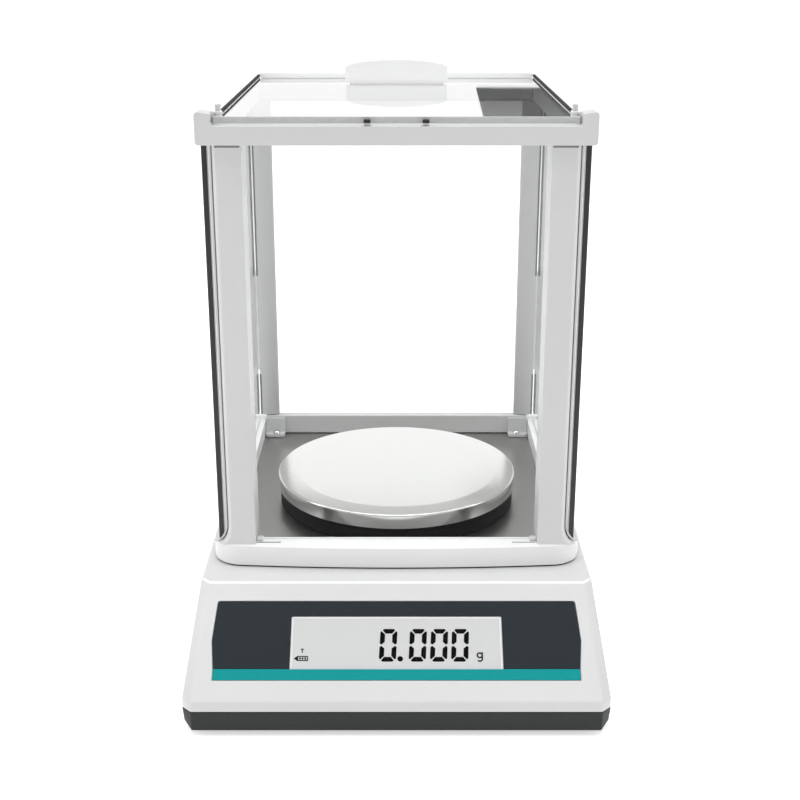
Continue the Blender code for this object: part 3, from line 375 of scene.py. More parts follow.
BRUSHED = surface(
    "brushed_steel", (0.46, 0.455, 0.45), 0.33, 1.0, grain=60.0, depth=0.01, bump=0.12, vary=0.02,
    stretch=(1.0, 40.0, 40.0), anisotropic=0.4,
)
RAIL_METAL = surface("rail_painted_grey", (0.70, 0.70, 0.695), 0.45, grain=900.0, depth=0.01, bump=0.2)
CAST = surface("cast_aluminium", (0.48, 0.49, 0.49), 0.48, 0.9, grain=500.0, depth=0.05, bump=0.4)
BLACK = surface(
    "moulded_black", (0.006, 0.006, 0.006), 0.65, specular=0.2, grain=1000.0, depth=0.02, bump=0.3, vary=0.08
)
# Painted shade: a dark grey for strips drawn where gaps and the underside of the front bar lie in shade.
SHADE_GREY = surface("painted_shade_grey", (0.22, 0.22, 0.22), 0.7, grain=700.0, depth=0.03, bump=0.4)
RUBBER = surface("rubber_black", (0.02, 0.02, 0.02), 0.85, grain=600.0, depth=0.04, bump=0.4, vary=0.1)
BOARD = surface("solder_mask", (0.01, 0.13, 0.05), 0.45, grain=400.0, depth=0.02, bump=0.3, vary=0.1)
COPPER = surface(
    "copper_winding", (0.62, 0.25, 0.11), 0.4, 1.0, grain=40.0, depth=0.1, bump=0.6, stretch=(1.0, 1.0, 90.0)
)
BRASS = surface("gold_contact", (0.75, 0.55, 0.22), 0.3, 1.0, grain=900.0, depth=0.01, bump=0.1)
LEVEL_LIQUID = surface("level_liquid", (0.35, 0.55, 0.12), 0.12, grain=200.0, depth=0.002, bump=0.05)
DOOR_PANE = clear_pane("door_glass", PANE_TINT, shine=1.7)
LID_PANE = clear_pane("lid_glass", PANE_TINT, shine=1.6)
COATED = clear_pane("coated_glass", (0.995, 0.998, 0.996), shine=0.15)
LENS = clear_pane("clear_lens", (0.99, 0.99, 0.99), 0.03, 0.25)
# Painted shade: the door panes' ground edges are drawn dark for the light held inside the glass.
EDGE_PAINTED_SHADE = surface(
    "glass_edge_painted_shade", (0.018, 0.020, 0.021), 0.35, grain=160.0, depth=0.05, bump=0.3, vary=0.2
)
# Ground glass edge tone; on the door panes' inward bevels it is a painted highlight.
EDGE_LIGHT = surface(
    "glass_edge_light", (0.60, 0.61, 0.605), 0.35, grain=90.0, depth=0.3, bump=0.8, vary=0.16,
    stretch=(1.0, 1.0, 3.0), drift_scale=260.0,
)


# ---------------------------------------------------------------- building pieces


def add_piece(name, mesh, materials, body, replaced=(), location=(0, 0, 0)):
    piece = bpy.data.objects.new(name, mesh)
    bpy.context.scene.collection.objects.link(piece)
    piece.location = location
    for material in materials:
        mesh.materials.append(material)
    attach(piece, body)
    if replaced:
        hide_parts(*replaced)
    return piece


def fit(mesh, material, replaced=(), body="base", location=(0, 0, 0)):
    """A piece of one material, named as its mesh."""
    return add_piece(mesh.name, mesh, [material], body, replaced, location)


def finish_bm(bm, name):
    bmesh.ops.recalc_face_normals(bm, faces=bm.faces)
    mesh = bpy.data.meshes.new(name)
    bm.to_mesh(mesh)
    bm.free()
    return mesh


def soften(piece, width, segments=3, degrees=35):
    """Rounded edges and smooth shading."""
    modifier = piece.modifiers.new("Bevel", "BEVEL")
    modifier.width = width
    modifier.segments = segments
    modifier.limit_method = "ANGLE"
    modifier.angle_limit = math.radians(degrees)
    modifier.harden_normals = True
    piece.data.shade_smooth()
    return piece


def smooth(piece, degrees=35):
    piece.data.shade_smooth()
    piece.data.set_sharp_from_angle(angle=math.radians(degrees))
    modifier = piece.modifiers.new("Normals", "WEIGHTED_NORMAL")
    modifier.keep_sharp = True
    return piece


def prism_mesh(name, outline, start, end, axis="Z"):
    """A closed outline pushed along Z or Y. The outline is in the other two axes, in X, Y, Z order."""
    def place(a, b, c):
        return (a, b, c) if axis == "Z" else (a, c, b)

    bm = bmesh.new()
    verts = [bm.verts.new(place(a, b, start)) for a, b in outline]
    face = bm.faces.new(verts)
    pushed = bmesh.ops.extrude_face_region(bm, geom=[face])
    moved = [v for v in pushed["geom"] if isinstance(v, bmesh.types.BMVert)]
    offset = place(0.0, 0.0, end - start)
    bmesh.ops.translate(bm, verts=moved, vec=offset)
    return finish_bm(bm, name)


def box_mesh(name, low_corner, high_corner):
    bm = bmesh.new()
    bmesh.ops.create_cube(bm, size=1.0)
    for vert in bm.verts:
        for axis in range(3):
            span = high_corner[axis] - low_corner[axis]
            vert.co[axis] = low_corner[axis] + (vert.co[axis] + 0.5) * span
    return finish_bm(bm, name)


def lathe_mesh(name, profile, steps=128):
    """A profile of (radius, height) turned about Z. Points on the axis close it."""
    bm = bmesh.new()
    rings = []
    for radius, z in profile:
        if radius < 1e-7:
            rings.append([bm.verts.new((0.0, 0.0, z))])
            continue
        angles = [2 * math.pi * i / steps for i in range(steps)]
        rings.append([bm.verts.new((radius * math.cos(a), radius * math.sin(a), z)) for a in angles])
    pairs = list(zip(rings, rings[1:]))
    if len(rings[0]) > 1:
        pairs.append((rings[-1], rings[0]))
    for first, second in pairs:
        for i in range(steps):
            j = (i + 1) % steps
            corners = [first[i % len(first)], first[j % len(first)]]
            corners += [second[j % len(second)], second[i % len(second)]]
            unique = list(dict.fromkeys(corners))
            if len(unique) > 2:
                bm.faces.new(unique)
    return finish_bm(bm, name)


def arc(centre, radius, start, end, count):
    angles = [math.radians(start + (end - start) * i / count) for i in range(count + 1)]
    return [(centre[0] + radius * math.cos(a), centre[1] + radius * math.sin(a)) for a in angles]


def rounded(x0, x1, y0, y1, radius, count=6):
    """A rectangle's outline with round corners."""
    points = []
    points += arc((x1 - radius, y1 - radius), radius, 0, 90, count)
    points += arc((x0 + radius, y1 - radius), radius, 90, 180, count)
    points += arc((x0 + radius, y0 + radius), radius, 180, 270, count)
    points += arc((x1 - radius, y0 + radius), radius, 270, 360, count)
    return points


def carve(piece, *cutters, operation="DIFFERENCE"):
    """Cuts meshes out of a piece for good."""
    for mesh in cutters:
        cutter = bpy.data.objects.new("cutter", mesh)
        bpy.context.scene.collection.objects.link(cutter)
        modifier = piece.modifiers.new("Cut", "BOOLEAN")
        modifier.operation = operation
        modifier.solver = "EXACT"
        modifier.object = cutter
        bpy.context.view_layer.update()
        graph = bpy.context.evaluated_depsgraph_get()
        result = bpy.data.meshes.new_from_object(piece.evaluated_get(graph))
        piece.modifiers.clear()
        piece.data = result
        bpy.data.objects.remove(cutter, do_unlink=True)
    return piece


def moved_mesh(mesh, location, rotation_x=0.0):
    """The same mesh, turned about X and moved."""
    cos, sin = math.cos(rotation_x), math.sin(rotation_x)
    for vert in mesh.vertices:
        x, y, z = vert.co
        vert.co = (
            x + location[0],
            y * cos - z * sin + location[1],
            y * sin + z * cos + location[2],
        )
    return mesh


def sides():
    return (("left", -1.0), ("right", 1.0))


def span(a, b):
    return (min(a, b), max(a, b))


# ---------------------------------------------------------------- body


def slope_y(z):
    return FRONT + (z - SKIRT_TOP) / math.tan(PANEL_ANGLE)


def chamfered(half, front, back, front_cut):
    """Half width, front and back of a rectangle with flat corners, as an outline of eight points."""
    right = [(half - CORNER, back), (half, back - CORNER), (half, front + front_cut), (half - CORNER, front)]
    return right + [(-x, y) for x, y in reversed(right)]


def stacked(outlines):
    """A closed form through outlines at rising heights: (height, points) each."""
    bm = bmesh.new()
    rings = [[bm.verts.new((x, y, z)) for x, y in outline] for z, outline in outlines]
    count = len(rings[0])
    for lower, upper in zip(rings, rings[1:]):
        for i in range(count):
            j = (i + 1) % count
            bm.faces.new((lower[i], lower[j], upper[j], upper[i]))
    bm.faces.new(rings[0])
    bm.faces.new(rings[-1])
    return bm


def housing_mesh():
    """The housing's outer form with soft corners, a skirt and the sloping front."""
    foot = chamfered(BODY_HALF, FRONT, REAR, CORNER)
    deck = chamfered(BODY_HALF - SIDE_DRAFT, slope_y(DECK), REAR - REAR_DRAFT, CORNER)
    bm = stacked([(HOUSING[0].z, foot), (SKIRT_TOP, foot), (DECK, deck)])
    borders = [e for e in bm.edges if abs(e.verts[0].co.z - e.verts[1].co.z) > MM]
    bmesh.ops.bevel(bm, geom=borders, offset=0.7 * MM, segments=2, profile=0.5, affect="EDGES")
    rim = [e for e in bm.edges if min(v.co.z for v in e.verts) > DECK - 0.01 * MM]
    bmesh.ops.bevel(bm, geom=rim, offset=1.5 * MM, segments=4, profile=0.5, affect="EDGES")
    crease = [e for e in bm.edges if all(abs(v.co.z - SKIRT_TOP) < 0.01 * MM for v in e.verts)]
    bmesh.ops.bevel(bm, geom=crease, offset=0.7 * MM, segments=3, profile=0.5, affect="EDGES")
    return finish_bm(bm, "housing_skin")


def panel_mesh(mesh):
    """A mesh drawn in the panel's plane, moved onto the sloping front."""
    return moved_mesh(mesh, (0.0, FRONT, SKIRT_TOP), PANEL_ANGLE)


def overlay_outline(grow=0.0, radius=1.2 * MM):
    low_half, kink_half, high_half = (half + grow for half in OVERLAY_HALVES)
    bottom = STRIPE[0] - grow
    top = OVERLAY_HIGH + grow
    right = [(low_half, bottom), (low_half, STRIPE[1]), (kink_half, OVERLAY_KINK)]
    right += arc((high_half - radius, top - radius), radius, 10, 90, 4)
    left = [(-x, y) for x, y in reversed(right)]
    return right + left


def tray_mesh(tray):
    """The tray's form: flat chamfered corners, cut farther back at the bottom of the front ones."""
    low, high = tray
    outlines = [
        (low.z, chamfered(high.x, low.y, high.y, TRAY_FRONT_CUT)),
        (high.z, chamfered(high.x, low.y, high.y, CORNER)),
    ]
    return finish_bm(stacked(outlines), "tray_skin")


def make_body():
    skin = add_piece(
        "housing_skin", housing_mesh(), [WHITE, PAINTED_HIGHLIGHT_WHITE], "base", ["upper_housing"]
    )
    recess = panel_mesh(prism_mesh("recess", overlay_outline(CLEAR), -FILM - CLEAR, 6 * MM))
    opening = panel_mesh(
        prism_mesh(
            "opening",
            rounded(-WINDOW_HALF + MM, WINDOW_HALF - MM, STRIPE[1] + 0.4 * MM, WINDOW_HIGH - MM, 0.5 * MM),
            -9 * MM,
            3 * MM,
        )
    )
    vial_radius = radius_of("level_vial")
    vial_hole = moved_mesh(
        lathe_mesh("vial_hole", [(0, DECK + 5 * MM), (vial_radius + CLEAR, DECK + 5 * MM),
                                 (vial_radius + CLEAR, DECK - 8 * MM), (0, DECK - 8 * MM)], 64),
        (0, middle_of("level_vial").y, 0),
    )
    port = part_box("serial_port")
    port_hole = box_mesh(
        "port_hole", (port[0].x - CLEAR, REAR - 15 * MM, port[0].z - CLEAR),
        (port[1].x + CLEAR, REAR + 5 * MM, port[1].z + CLEAR),
    )
    socket = middle_of("power_socket")
    socket_radius = radius_of("power_socket") + CLEAR
    socket_hole = moved_mesh(
        lathe_mesh(
            "socket_hole", [(0, 5 * MM), (socket_radius, 5 * MM), (socket_radius, -15 * MM), (0, -15 * MM)],
            48,
        ),
        (socket.x, REAR, socket.z), AXIS_TILT,
    )
    carve(skin, recess, opening, vial_hole, port_hole, socket_hole)
    bm = bmesh.new()
    bm.from_mesh(skin.data)
    for face in bm.faces:
        middle = face.calc_center_median()
        # Painted highlight: rim bevel faces that face up and forward take the brighter, glowing white in slot
        # 1.
        if middle.z > DECK - 1.5 * MM and 0.84 < face.normal.z < 0.985 and face.normal.y < -0.15:
            face.material_index = 1
        if face.calc_area() > 300 * MM * MM:
            for edge in face.edges:
                edge.smooth = False
    bm.to_mesh(skin.data)
    bm.free()
    for face in skin.data.polygons:
        face.use_smooth = True

    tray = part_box("bottom_tray")
    skin = add_piece("tray_skin", tray_mesh(tray), [TRAY], "base", ["bottom_tray"])
    for place in CORNERS:
        middle = middle_of("foot_wheel_" + place)
        radius = radius_of("foot_wheel_" + place) + MM
        pocket = lathe_mesh(
            "pocket",
            [
                (0, tray[0].z + 5.6 * MM), (radius, tray[0].z + 5.6 * MM), (radius, tray[0].z - MM),
                (0, tray[0].z - MM),
            ],
            64,
        )
        carve(skin, moved_mesh(pocket, (middle.x, middle.y, 0)))
    for row in range(7):
        y = -30 * MM + row * 9 * MM
        slot = prism_mesh(
            "vent", rounded(-22 * MM, 22 * MM, y, y + 3 * MM, 1.4 * MM), tray[0].z - MM, tray[0].z + 3 * MM
        )
        carve(skin, slot)
    soften(skin, 0.5 * MM, 2, 50)


# ---------------------------------------------------------------- operating panel


def add_on_panel(name, outline, bottom, top, material, replaced=()):
    mesh = panel_mesh(prism_mesh(name, outline, bottom, top))
    return add_piece(name, mesh, [material], "base", replaced)


def segment_outlines(width, height, thickness, gap):
    """The six outer bars of a seven-segment figure, with their ends cut at 45 degrees."""
    t = thickness
    c = t / 2
    mid = height / 2
    upper = [(gap + c, height), (width - gap - c, height), (width - gap - c / 2, height - c / 2)]
    upper += [(width - t - gap * 0.2, height - t), (t + gap * 0.2, height - t), (gap + c / 2, height - c / 2)]
    bars = [upper, [(x, height - y) for x, y in upper]]
    for low_y, high_y, tip in ((mid + gap * 0.6, height - gap, "low"), (gap, mid - gap * 0.6, "high")):
        if tip == "low":
            bar = [(0, high_y - c), (c / 2, high_y - c / 2), (t, high_y - t), (t, low_y + t * 0.55)]
            bar += [(t * 0.35, low_y), (0, low_y + t * 0.25)]
        else:
            bar = [(0, low_y + c), (0, high_y - t * 0.25), (t * 0.35, high_y), (t, high_y - t * 0.55)]
            bar += [(t, low_y + t), (c / 2, low_y + c / 2)]
        bars.append(bar)
        bars.append([(width - x, y) for x, y in bar])
    return bars


def flat_marks(name, outlines, level, material):
    """Thin printed marks lying in the panel's plane, as one mesh."""
    bm = bmesh.new()
    for outline in outlines:
        verts = [bm.verts.new((x, y, level)) for x, y in outline]
        face = bm.faces.new(verts)
        if face.normal.z < 0:
            face.normal_flip()
        pushed = bmesh.ops.extrude_face_region(bm, geom=[face])
        top = [v for v in pushed["geom"] if isinstance(v, bmesh.types.BMVert)]
        bmesh.ops.translate(bm, verts=top, vec=(0, 0, 0.03 * MM))
    return add_piece(name, panel_mesh(finish_bm(bm, name)), [material], "base")


def circle(x, y, radius, count=24):
    return arc((x, y), radius, 0, 360 - 360 / count, count - 1)


def make_display(level):
    """The liquid crystal's figures, decimal point, unit and small status marks."""
    digit_width, digit_height, thickness = 7.9 * MM, 15.8 * MM, 2.25 * MM
    base = 19.5 * MM
    slant = math.tan(math.radians(3.0))
    outlines = []
    for left in (-8.2 * MM, 5.5 * MM, 15.3 * MM, 25.0 * MM):
        for bar in segment_outlines(digit_width, digit_height, thickness, 0.5 * MM):
            outlines.append([(left + x + y * slant, base + y) for x, y in bar])
    outlines.append(circle(1.7 * MM, base + 1.35 * MM, 1.3 * MM))
    flat_marks("display_figures", outlines, level, SEGMENT)

    bowl = (38.3 * MM, base + 3.05 * MM)
    stroke = 0.75 * MM
    ring_out = arc(bowl, 1.5 * MM, 0, 360, 28)
    ring_in = arc(bowl, 1.5 * MM - stroke, 360, 0, 28)
    halves = [ring_out[:15] + ring_in[14:], ring_out[14:] + ring_in[:15]]
    stem = [
        (39.05 * MM, base + 4.5 * MM), (39.05 * MM, base + 1.4 * MM), (39.8 * MM, base + 1.4 * MM),
        (39.8 * MM, base + 4.5 * MM),
    ]
    tail_centre = (38.25 * MM, base + 1.4 * MM)
    tail = arc(tail_centre, 1.55 * MM, 0, -140, 12) + arc(tail_centre, 1.55 * MM - stroke, -140, 0, 12)
    flat_marks("display_unit", halves + [stem, tail], level, UNIT)

    cell = [
        [(-47.2 * MM, 21.0 * MM), (-45.4 * MM, 22.3 * MM), (-45.4 * MM, 19.7 * MM)],
        rounded(-45.6 * MM, -40.6 * MM, 19.8 * MM, 20.3 * MM, 0.2 * MM, 2),
        rounded(-45.6 * MM, -40.6 * MM, 21.7 * MM, 22.2 * MM, 0.2 * MM, 2),
        rounded(-45.6 * MM, -45.1 * MM, 20.3 * MM, 21.7 * MM, 0.2 * MM, 2),
        rounded(-41.1 * MM, -40.6 * MM, 20.3 * MM, 21.7 * MM, 0.2 * MM, 2),
        rounded(-44.7 * MM, -43.9 * MM, 20.5 * MM, 21.5 * MM, 0.2 * MM, 2),
        rounded(-43.5 * MM, -42.7 * MM, 20.5 * MM, 21.5 * MM, 0.2 * MM, 2),
        rounded(-42.3 * MM, -41.5 * MM, 20.5 * MM, 21.5 * MM, 0.2 * MM, 2),
        rounded(-44.1 * MM, -42.7 * MM, 25.2 * MM, 25.7 * MM, 0.1 * MM, 2),
        rounded(-43.65 * MM, -43.15 * MM, 23.6 * MM, 25.3 * MM, 0.1 * MM, 2),
    ]
    flat_marks("display_icons", cell, level, ICON)


def make_panel():
    stripe_half = OVERLAY_HALVES[0]
    notch = prism_mesh(
        "notch", rounded(-WINDOW_HALF, WINDOW_HALF, STRIPE[0], WINDOW_HIGH, 0.6 * MM), -2 * MM, 2 * MM
    )
    below = prism_mesh("below", rounded(-0.1, 0.1, -10 * MM, STRIPE[1], 0.1 * MM), -2 * MM, 2 * MM)
    overlay = add_on_panel(
        "overlay_film", overlay_outline(), -FILM, 0.0, SLATE, ["front_overlay"]
    )
    carve(overlay, panel_mesh(notch), panel_mesh(below))
    soften(overlay, 0.12 * MM, 2, 40)
    stripe = add_on_panel(
        "stripe_film",
        rounded(-stripe_half, stripe_half, STRIPE[0], STRIPE[1] - 0.05 * MM, 0.5 * MM),
        -FILM, 0.02 * MM, TEAL, ["accent_stripe"],
    )
    soften(stripe, 0.1 * MM, 2, 40)
    lcd_level = -0.5 * MM
    outer = rounded(
        -WINDOW_HALF + LCD_INSET, WINDOW_HALF - LCD_INSET, STRIPE[1], WINDOW_HIGH - LCD_INSET, 0.4 * MM
    )
    add_on_panel("lcd_border", outer, -3 * MM, lcd_level - 0.05 * MM, LCD_BORDER, ["lcd_module"])
    inner = rounded(
        -WINDOW_HALF + 1.1 * MM, WINDOW_HALF - 1.1 * MM, STRIPE[1] + 0.1 * MM, WINDOW_HIGH - 1.0 * MM,
        0.3 * MM,
    )
    add_on_panel("lcd_panel", inner, -2.8 * MM, lcd_level, LCD)
    make_display(lcd_level + 0.01 * MM)
    lens = add_on_panel(
        "display_lens",
        rounded(
            -WINDOW_HALF + LCD_INSET, WINDOW_HALF - LCD_INSET, STRIPE[1] + 0.05 * MM, WINDOW_HIGH - LCD_INSET,
            0.5 * MM,
        ),
        -0.3 * MM, 0.0, LENS, ["display_window"],
    )
    smooth(lens)


# ---------------------------------------------------------------- chamber


def collar_outline():
    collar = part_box("chamber_collar")
    half, corner, bow = collar[1].x, 15.0 * MM, 3.0 * MM
    front, back = collar[0].y + bow, collar[1].y
    points = arc((half - corner, front + corner), corner, 0, -90, 20)
    steps = 24
    for i in range(1, steps):
        x = (half - corner) * (1 - 2 * i / steps)
        points.append((x, front - bow * (1 - (x / (half - corner)) ** 2)))
    points += arc((-half + corner, front + corner), corner, -90, -180, 20)
    rear = 4 * MM
    points += arc((-half + rear, back - rear), rear, 180, 90, 8)
    points += arc((half - rear, back - rear), rear, 90, 0, 8)
    return points


def make_collar():
    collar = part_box("chamber_collar")
    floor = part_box("chamber_floor")
    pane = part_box("front_glass")
    top = collar[1].z
    piece = add_piece(
        "collar_skin",
        prism_mesh("collar_skin", collar_outline(), collar[0].z + 0.5 * MM, top),
        [COLLAR_WHITE, PAINTED_HIGHLIGHT_WHITE], "base", ["chamber_collar"],
    )
    inside = box_mesh(
        "inside", (floor[0].x - CLEAR, floor[0].y - CLEAR, collar[0].z - MM),
        (floor[1].x + CLEAR, floor[1].y + CLEAR, top + MM),
    )
    cutters = [inside]
    for _, sign in sides():
        x0, x1 = span(sign * (pane[1].x - 14 * MM), sign * pane[1].x)
        cutters.append(
            box_mesh(
                "pane_slot", (x0, pane[0].y - 0.4 * MM, top - 1.2 * MM), (x1, pane[0].y + 0.5 * MM, top + MM)
            )
        )
    for side, sign in sides():
        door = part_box("door_glass_" + side)
        cutters.append(
            box_mesh(
                "groove",
                (door[0].x - DOOR_PLAY, door[0].y - CLEAR, top - 2.5 * MM),
                (door[1].x + DOOR_PLAY, collar[1].y + MM, top + MM),
            )
        )
    carve(piece, *cutters)
    # Painted highlight: the collar's flat top faces take the brighter, glowing white.
    for face in piece.data.polygons:
        face.material_index = 1 if face.normal.z > 0.9 and face.center.z > top - 0.1 * MM else 0
    soften(piece, 0.9 * MM, 3, 40)
    # Painted shade: a dark rubber band under the collar, in the gap over the deck, drawn for the shaded line
    # there.
    gap_outline = [(x * 0.994, y * 0.994) for x, y in collar_outline()]
    ring = fit(prism_mesh("collar_gap_shade", gap_outline, DECK, DECK + 1.8 * MM), RUBBER)
    carve(
        ring,
        box_mesh(
            "hole", (-collar[1].x * 0.93, collar[0].y + 9 * MM, DECK - MM),
            (collar[1].x * 0.93, collar[1].y - 3 * MM, DECK + 3 * MM),
        ),
    )
    sill = box_mesh(
        "sill_strip",
        (-pane[1].x + 2 * MM, pane[1].y + 0.4 * MM, top - 0.5 * MM),
        (pane[1].x - 2 * MM, floor[0].y - 0.4 * MM, top + 0.5 * MM),
    )
    soften(fit(sill, BRIGHT), 0.2 * MM, 2)
    for side, sign in sides():
        seal_x = span(sign * (pane[1].x - 14 * MM), sign * (pane[1].x - 3 * MM))
        seal = box_mesh(
            "pane_seal_" + side, (seal_x[0], pane[0].y - 0.35 * MM, top - MM),
            (seal_x[1], pane[0].y + 0.45 * MM, top - 0.1 * MM),
        )
        soften(fit(seal, RUBBER), 0.1 * MM, 1)
        lug = rounded(
            sign * LUG_PLACE - 1.6 * MM, sign * LUG_PLACE + 1.6 * MM, pane[0].y + 0.9 * MM,
            floor[0].y - 0.2 * MM, 0.7 * MM,
        )
        soften(
            add_piece("pane_lug_" + side, prism_mesh("pane_lug_" + side, lug, top - MM, top + 1.3 * MM),
                      [WHITE], "base"),
            0.4 * MM,
        )


def column_mesh(name, x_inner, x_outer, y_front, y_rear, bottom, top):
    """A front column: round outer corner, and a foot that flares into the collar."""
    sign = math.copysign(1.0, x_outer)
    a, b = abs(x_inner), abs(x_outer)
    outer, inner = 2.6 * MM, 0.6 * MM
    shoulder = b - 0.9 * MM
    outline = [
        (b + 0.7 * MM, y_front + 3.6 * MM), (b - 0.2 * MM, y_front + 3.6 * MM),
        (b - 0.2 * MM, y_front + 6 * MM),
    ]
    outline += [(shoulder, y_front + 6 * MM)]
    outline += arc((shoulder - outer, y_front + outer), outer, 0, -90, 8)
    outline += arc((a + inner, y_front + inner), inner, -90, -180, 4)
    outline += arc((a + inner, y_rear - inner), inner, 180, 90, 4)
    outline += arc((b + 0.7 * MM - inner, y_rear - inner), inner, 90, 0, 4)
    reach, rise = 5.5 * MM, 9.0 * MM
    heights = [rise * (i / 10) ** 1.5 for i in range(11)]
    levels = [(h, reach * (1 - math.sqrt(1 - (1 - h / rise) ** 2))) for h in heights]
    levels.append((top - bottom, 0.0))
    outlines = []
    for height, flare in levels:
        ring = []
        for x, y in outline:
            wide = x + flare * (x - a) / (b - a)
            deep = y - 0.25 * flare * (y_rear - y) / (y_rear - y_front)
            ring.append((sign * wide, deep))
        outlines.append((bottom + height, ring))
    return finish_bm(stacked(outlines), name)


def make_columns():
    for side, sign in sides():
        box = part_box("front_column_" + side)
        inner, outer_front = (box[1].x, box[0].x) if sign < 0 else (box[0].x, box[1].x)
        mesh = column_mesh(
            "front_column_skin_" + side, inner, outer_front, box[0].y, box[1].y, box[0].z - CLEAR, box[1].z
        )
        # Painted light: the column's inner faces and its round outer front corner take the brighter housing
        # white, a painted highlight on the corner.
        for face in mesh.polygons:
            inside = face.normal.x * sign < -0.9 and abs(face.center.x) < abs(inner) + MM
            corner = face.normal.x * sign > 0.3 and face.center.y < box[0].y + 3 * MM
            face.material_index = 1 if inside or corner else 0
        column = add_piece(
            mesh.name, mesh, [FRAME_WHITE, WHITE], "base", ["front_column_" + side]
        )
        smooth(column, 40)
        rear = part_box("rear_column_" + side)
        bow = 1.6 * MM
        steps = 10
        outline = [(rear[0].x, rear[1].y), (rear[1].x, rear[1].y)]
        for i in range(steps + 1):
            across = 1 - 2 * i / steps
            middle = (rear[0].x + rear[1].x) / 2
            outline.append((middle + across * (rear[1].x - rear[0].x) / 2, rear[0].y + bow * across * across))
        # The rear column takes the darker white, which is painted shade.
        piece = add_piece(
            "rear_column_skin_" + side, prism_mesh("rear_column", outline, rear[0].z, rear[1].z),
            [REAR_SHADED_WHITE], "base", ["rear_column_" + side],
        )
        soften(piece, 0.5 * MM)
        # Painted shade: dark grey strips along the rear column's outer front edge, above and below the door
        # handle, for the shaded gap beside the door.
        outer = rear[0].x if sign < 0 else rear[1].x
        seal_x = span(outer, outer - sign * 0.9 * MM)
        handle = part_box("door_handle_" + side)
        for part, z0, z1 in (("low", rear[0].z, handle[0].z), ("high", handle[1].z, rear[1].z)):
            name = "rear_gap_shade_" + side + "_" + part
            seal = box_mesh(name, (seal_x[0], rear[0].y + 0.9 * MM, z0), (seal_x[1], rear[0].y + 3 * MM, z1))
            soften(fit(seal, SHADE_GREY), 0.2 * MM, 2)
        # Painted shadow: a thin dark grey strip at the column's top, under the front bar, where the bar's
        # shadow falls.
        top_shade_x = span(inner + sign * 0.4 * MM, outer_front - sign * 2.4 * MM)
        top_shade = box_mesh(
            "column_top_shade_" + side, (top_shade_x[0], box[0].y - 0.05 * MM, box[1].z - 1.2 * MM),
            (top_shade_x[1], box[0].y + 4 * MM, box[1].z + CLEAR),
        )
        soften(fit(top_shade, SHADE_GREY), 0.2 * MM, 2)


def pane_piece(name, node, body, edge, clear):
    """A pane with ground edges: its two wide faces are clear and the narrow ones take the edge's material."""
    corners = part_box(node)
    mesh = box_mesh(name, corners[0], corners[1])
    bm = bmesh.new()
    bm.from_mesh(mesh)
    sizes = [corners[1][axis] - corners[0][axis] for axis in range(3)]
    thin = sizes.index(min(sizes))
    upright = thin != 2
    bmesh.ops.bevel(bm, geom=bm.edges[:], offset=(0.45 if upright else 0.2) * MM, segments=1, affect="EDGES")
    bm.normal_update()
    middle = (corners[0][thin] + corners[1][thin]) / 2
    for face in bm.faces:
        across = abs(face.normal[thin])
        inward = across > 0.3 and face.normal[thin] * middle < 0
        bottom = upright and face.normal.z < -0.5
        # Inward bevels take EDGE_LIGHT, a painted highlight on the doors; the other edge faces take the
        # edge's material, painted shade on the doors.
        face.material_index = 0 if across > 0.95 or bottom else 2 if inward else 1
    mesh = finish_bm(bm, name)
    return add_piece(name, mesh, [clear, edge, EDGE_LIGHT], body, [node])


def make_panes():
    pane_piece("front_pane", "front_glass", "base", EDGE_LIGHT, COATED)
    pane_piece("rear_pane", "rear_glass", "base", EDGE_LIGHT, COATED)
    pane_piece("lid_pane", "lid_glass", "lid", EDGE_LIGHT, LID_PANE)
    for side, _ in sides():
        pane_piece("door_pane_" + side, "door_glass_" + side, "door_" + side, EDGE_PAINTED_SHADE, DOOR_PANE)


def make_floor():
    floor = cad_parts["chamber_floor"]
    repaint(floor, BRUSHED)
    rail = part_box("rear_rail")
    piece = fit(box_mesh("rear_rail_skin", rail[0], rail[1]), RAIL_METAL, ["rear_rail"])
    soften(piece, 0.7 * MM)
    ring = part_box("draft_ring")
    radius = radius_of("draft_ring")
    edge = 0.5 * MM
    profile = [
        (radius - edge, ring[1].z), (radius, ring[1].z - edge), (radius, ring[0].z),
        (radius - 2.5 * MM, ring[0].z), (radius - 2.5 * MM, ring[1].z - edge),
        (radius - 2.5 * MM + edge, ring[1].z),
    ]
    piece = add_piece(
        "draft_ring_skin", lathe_mesh("draft_ring_skin", profile, 160), [BLACK], "base",
        ["draft_ring"], PAN_PLACE,
    )
    smooth(piece)
    for side, sign in sides():
        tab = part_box("corner_bracket_" + side)
        outline = rounded(tab[0].x, tab[1].x, tab[0].z, tab[1].z, 1.2 * MM, 6)
        mesh = prism_mesh("bracket_skin_" + side, outline, tab[1].y - BRACKET_SHEET, tab[1].y, "Y")
        foot = rounded(tab[0].x, tab[1].x, tab[0].y, tab[1].y, 2.6 * MM, 8)
        piece = fit(mesh, FRAME_WHITE, ["corner_bracket_" + side])
        carve(piece, prism_mesh("foot", foot, tab[0].z, tab[0].z + BRACKET_SHEET), operation="UNION")
        soften(piece, 0.35 * MM)
        make_screw(side)


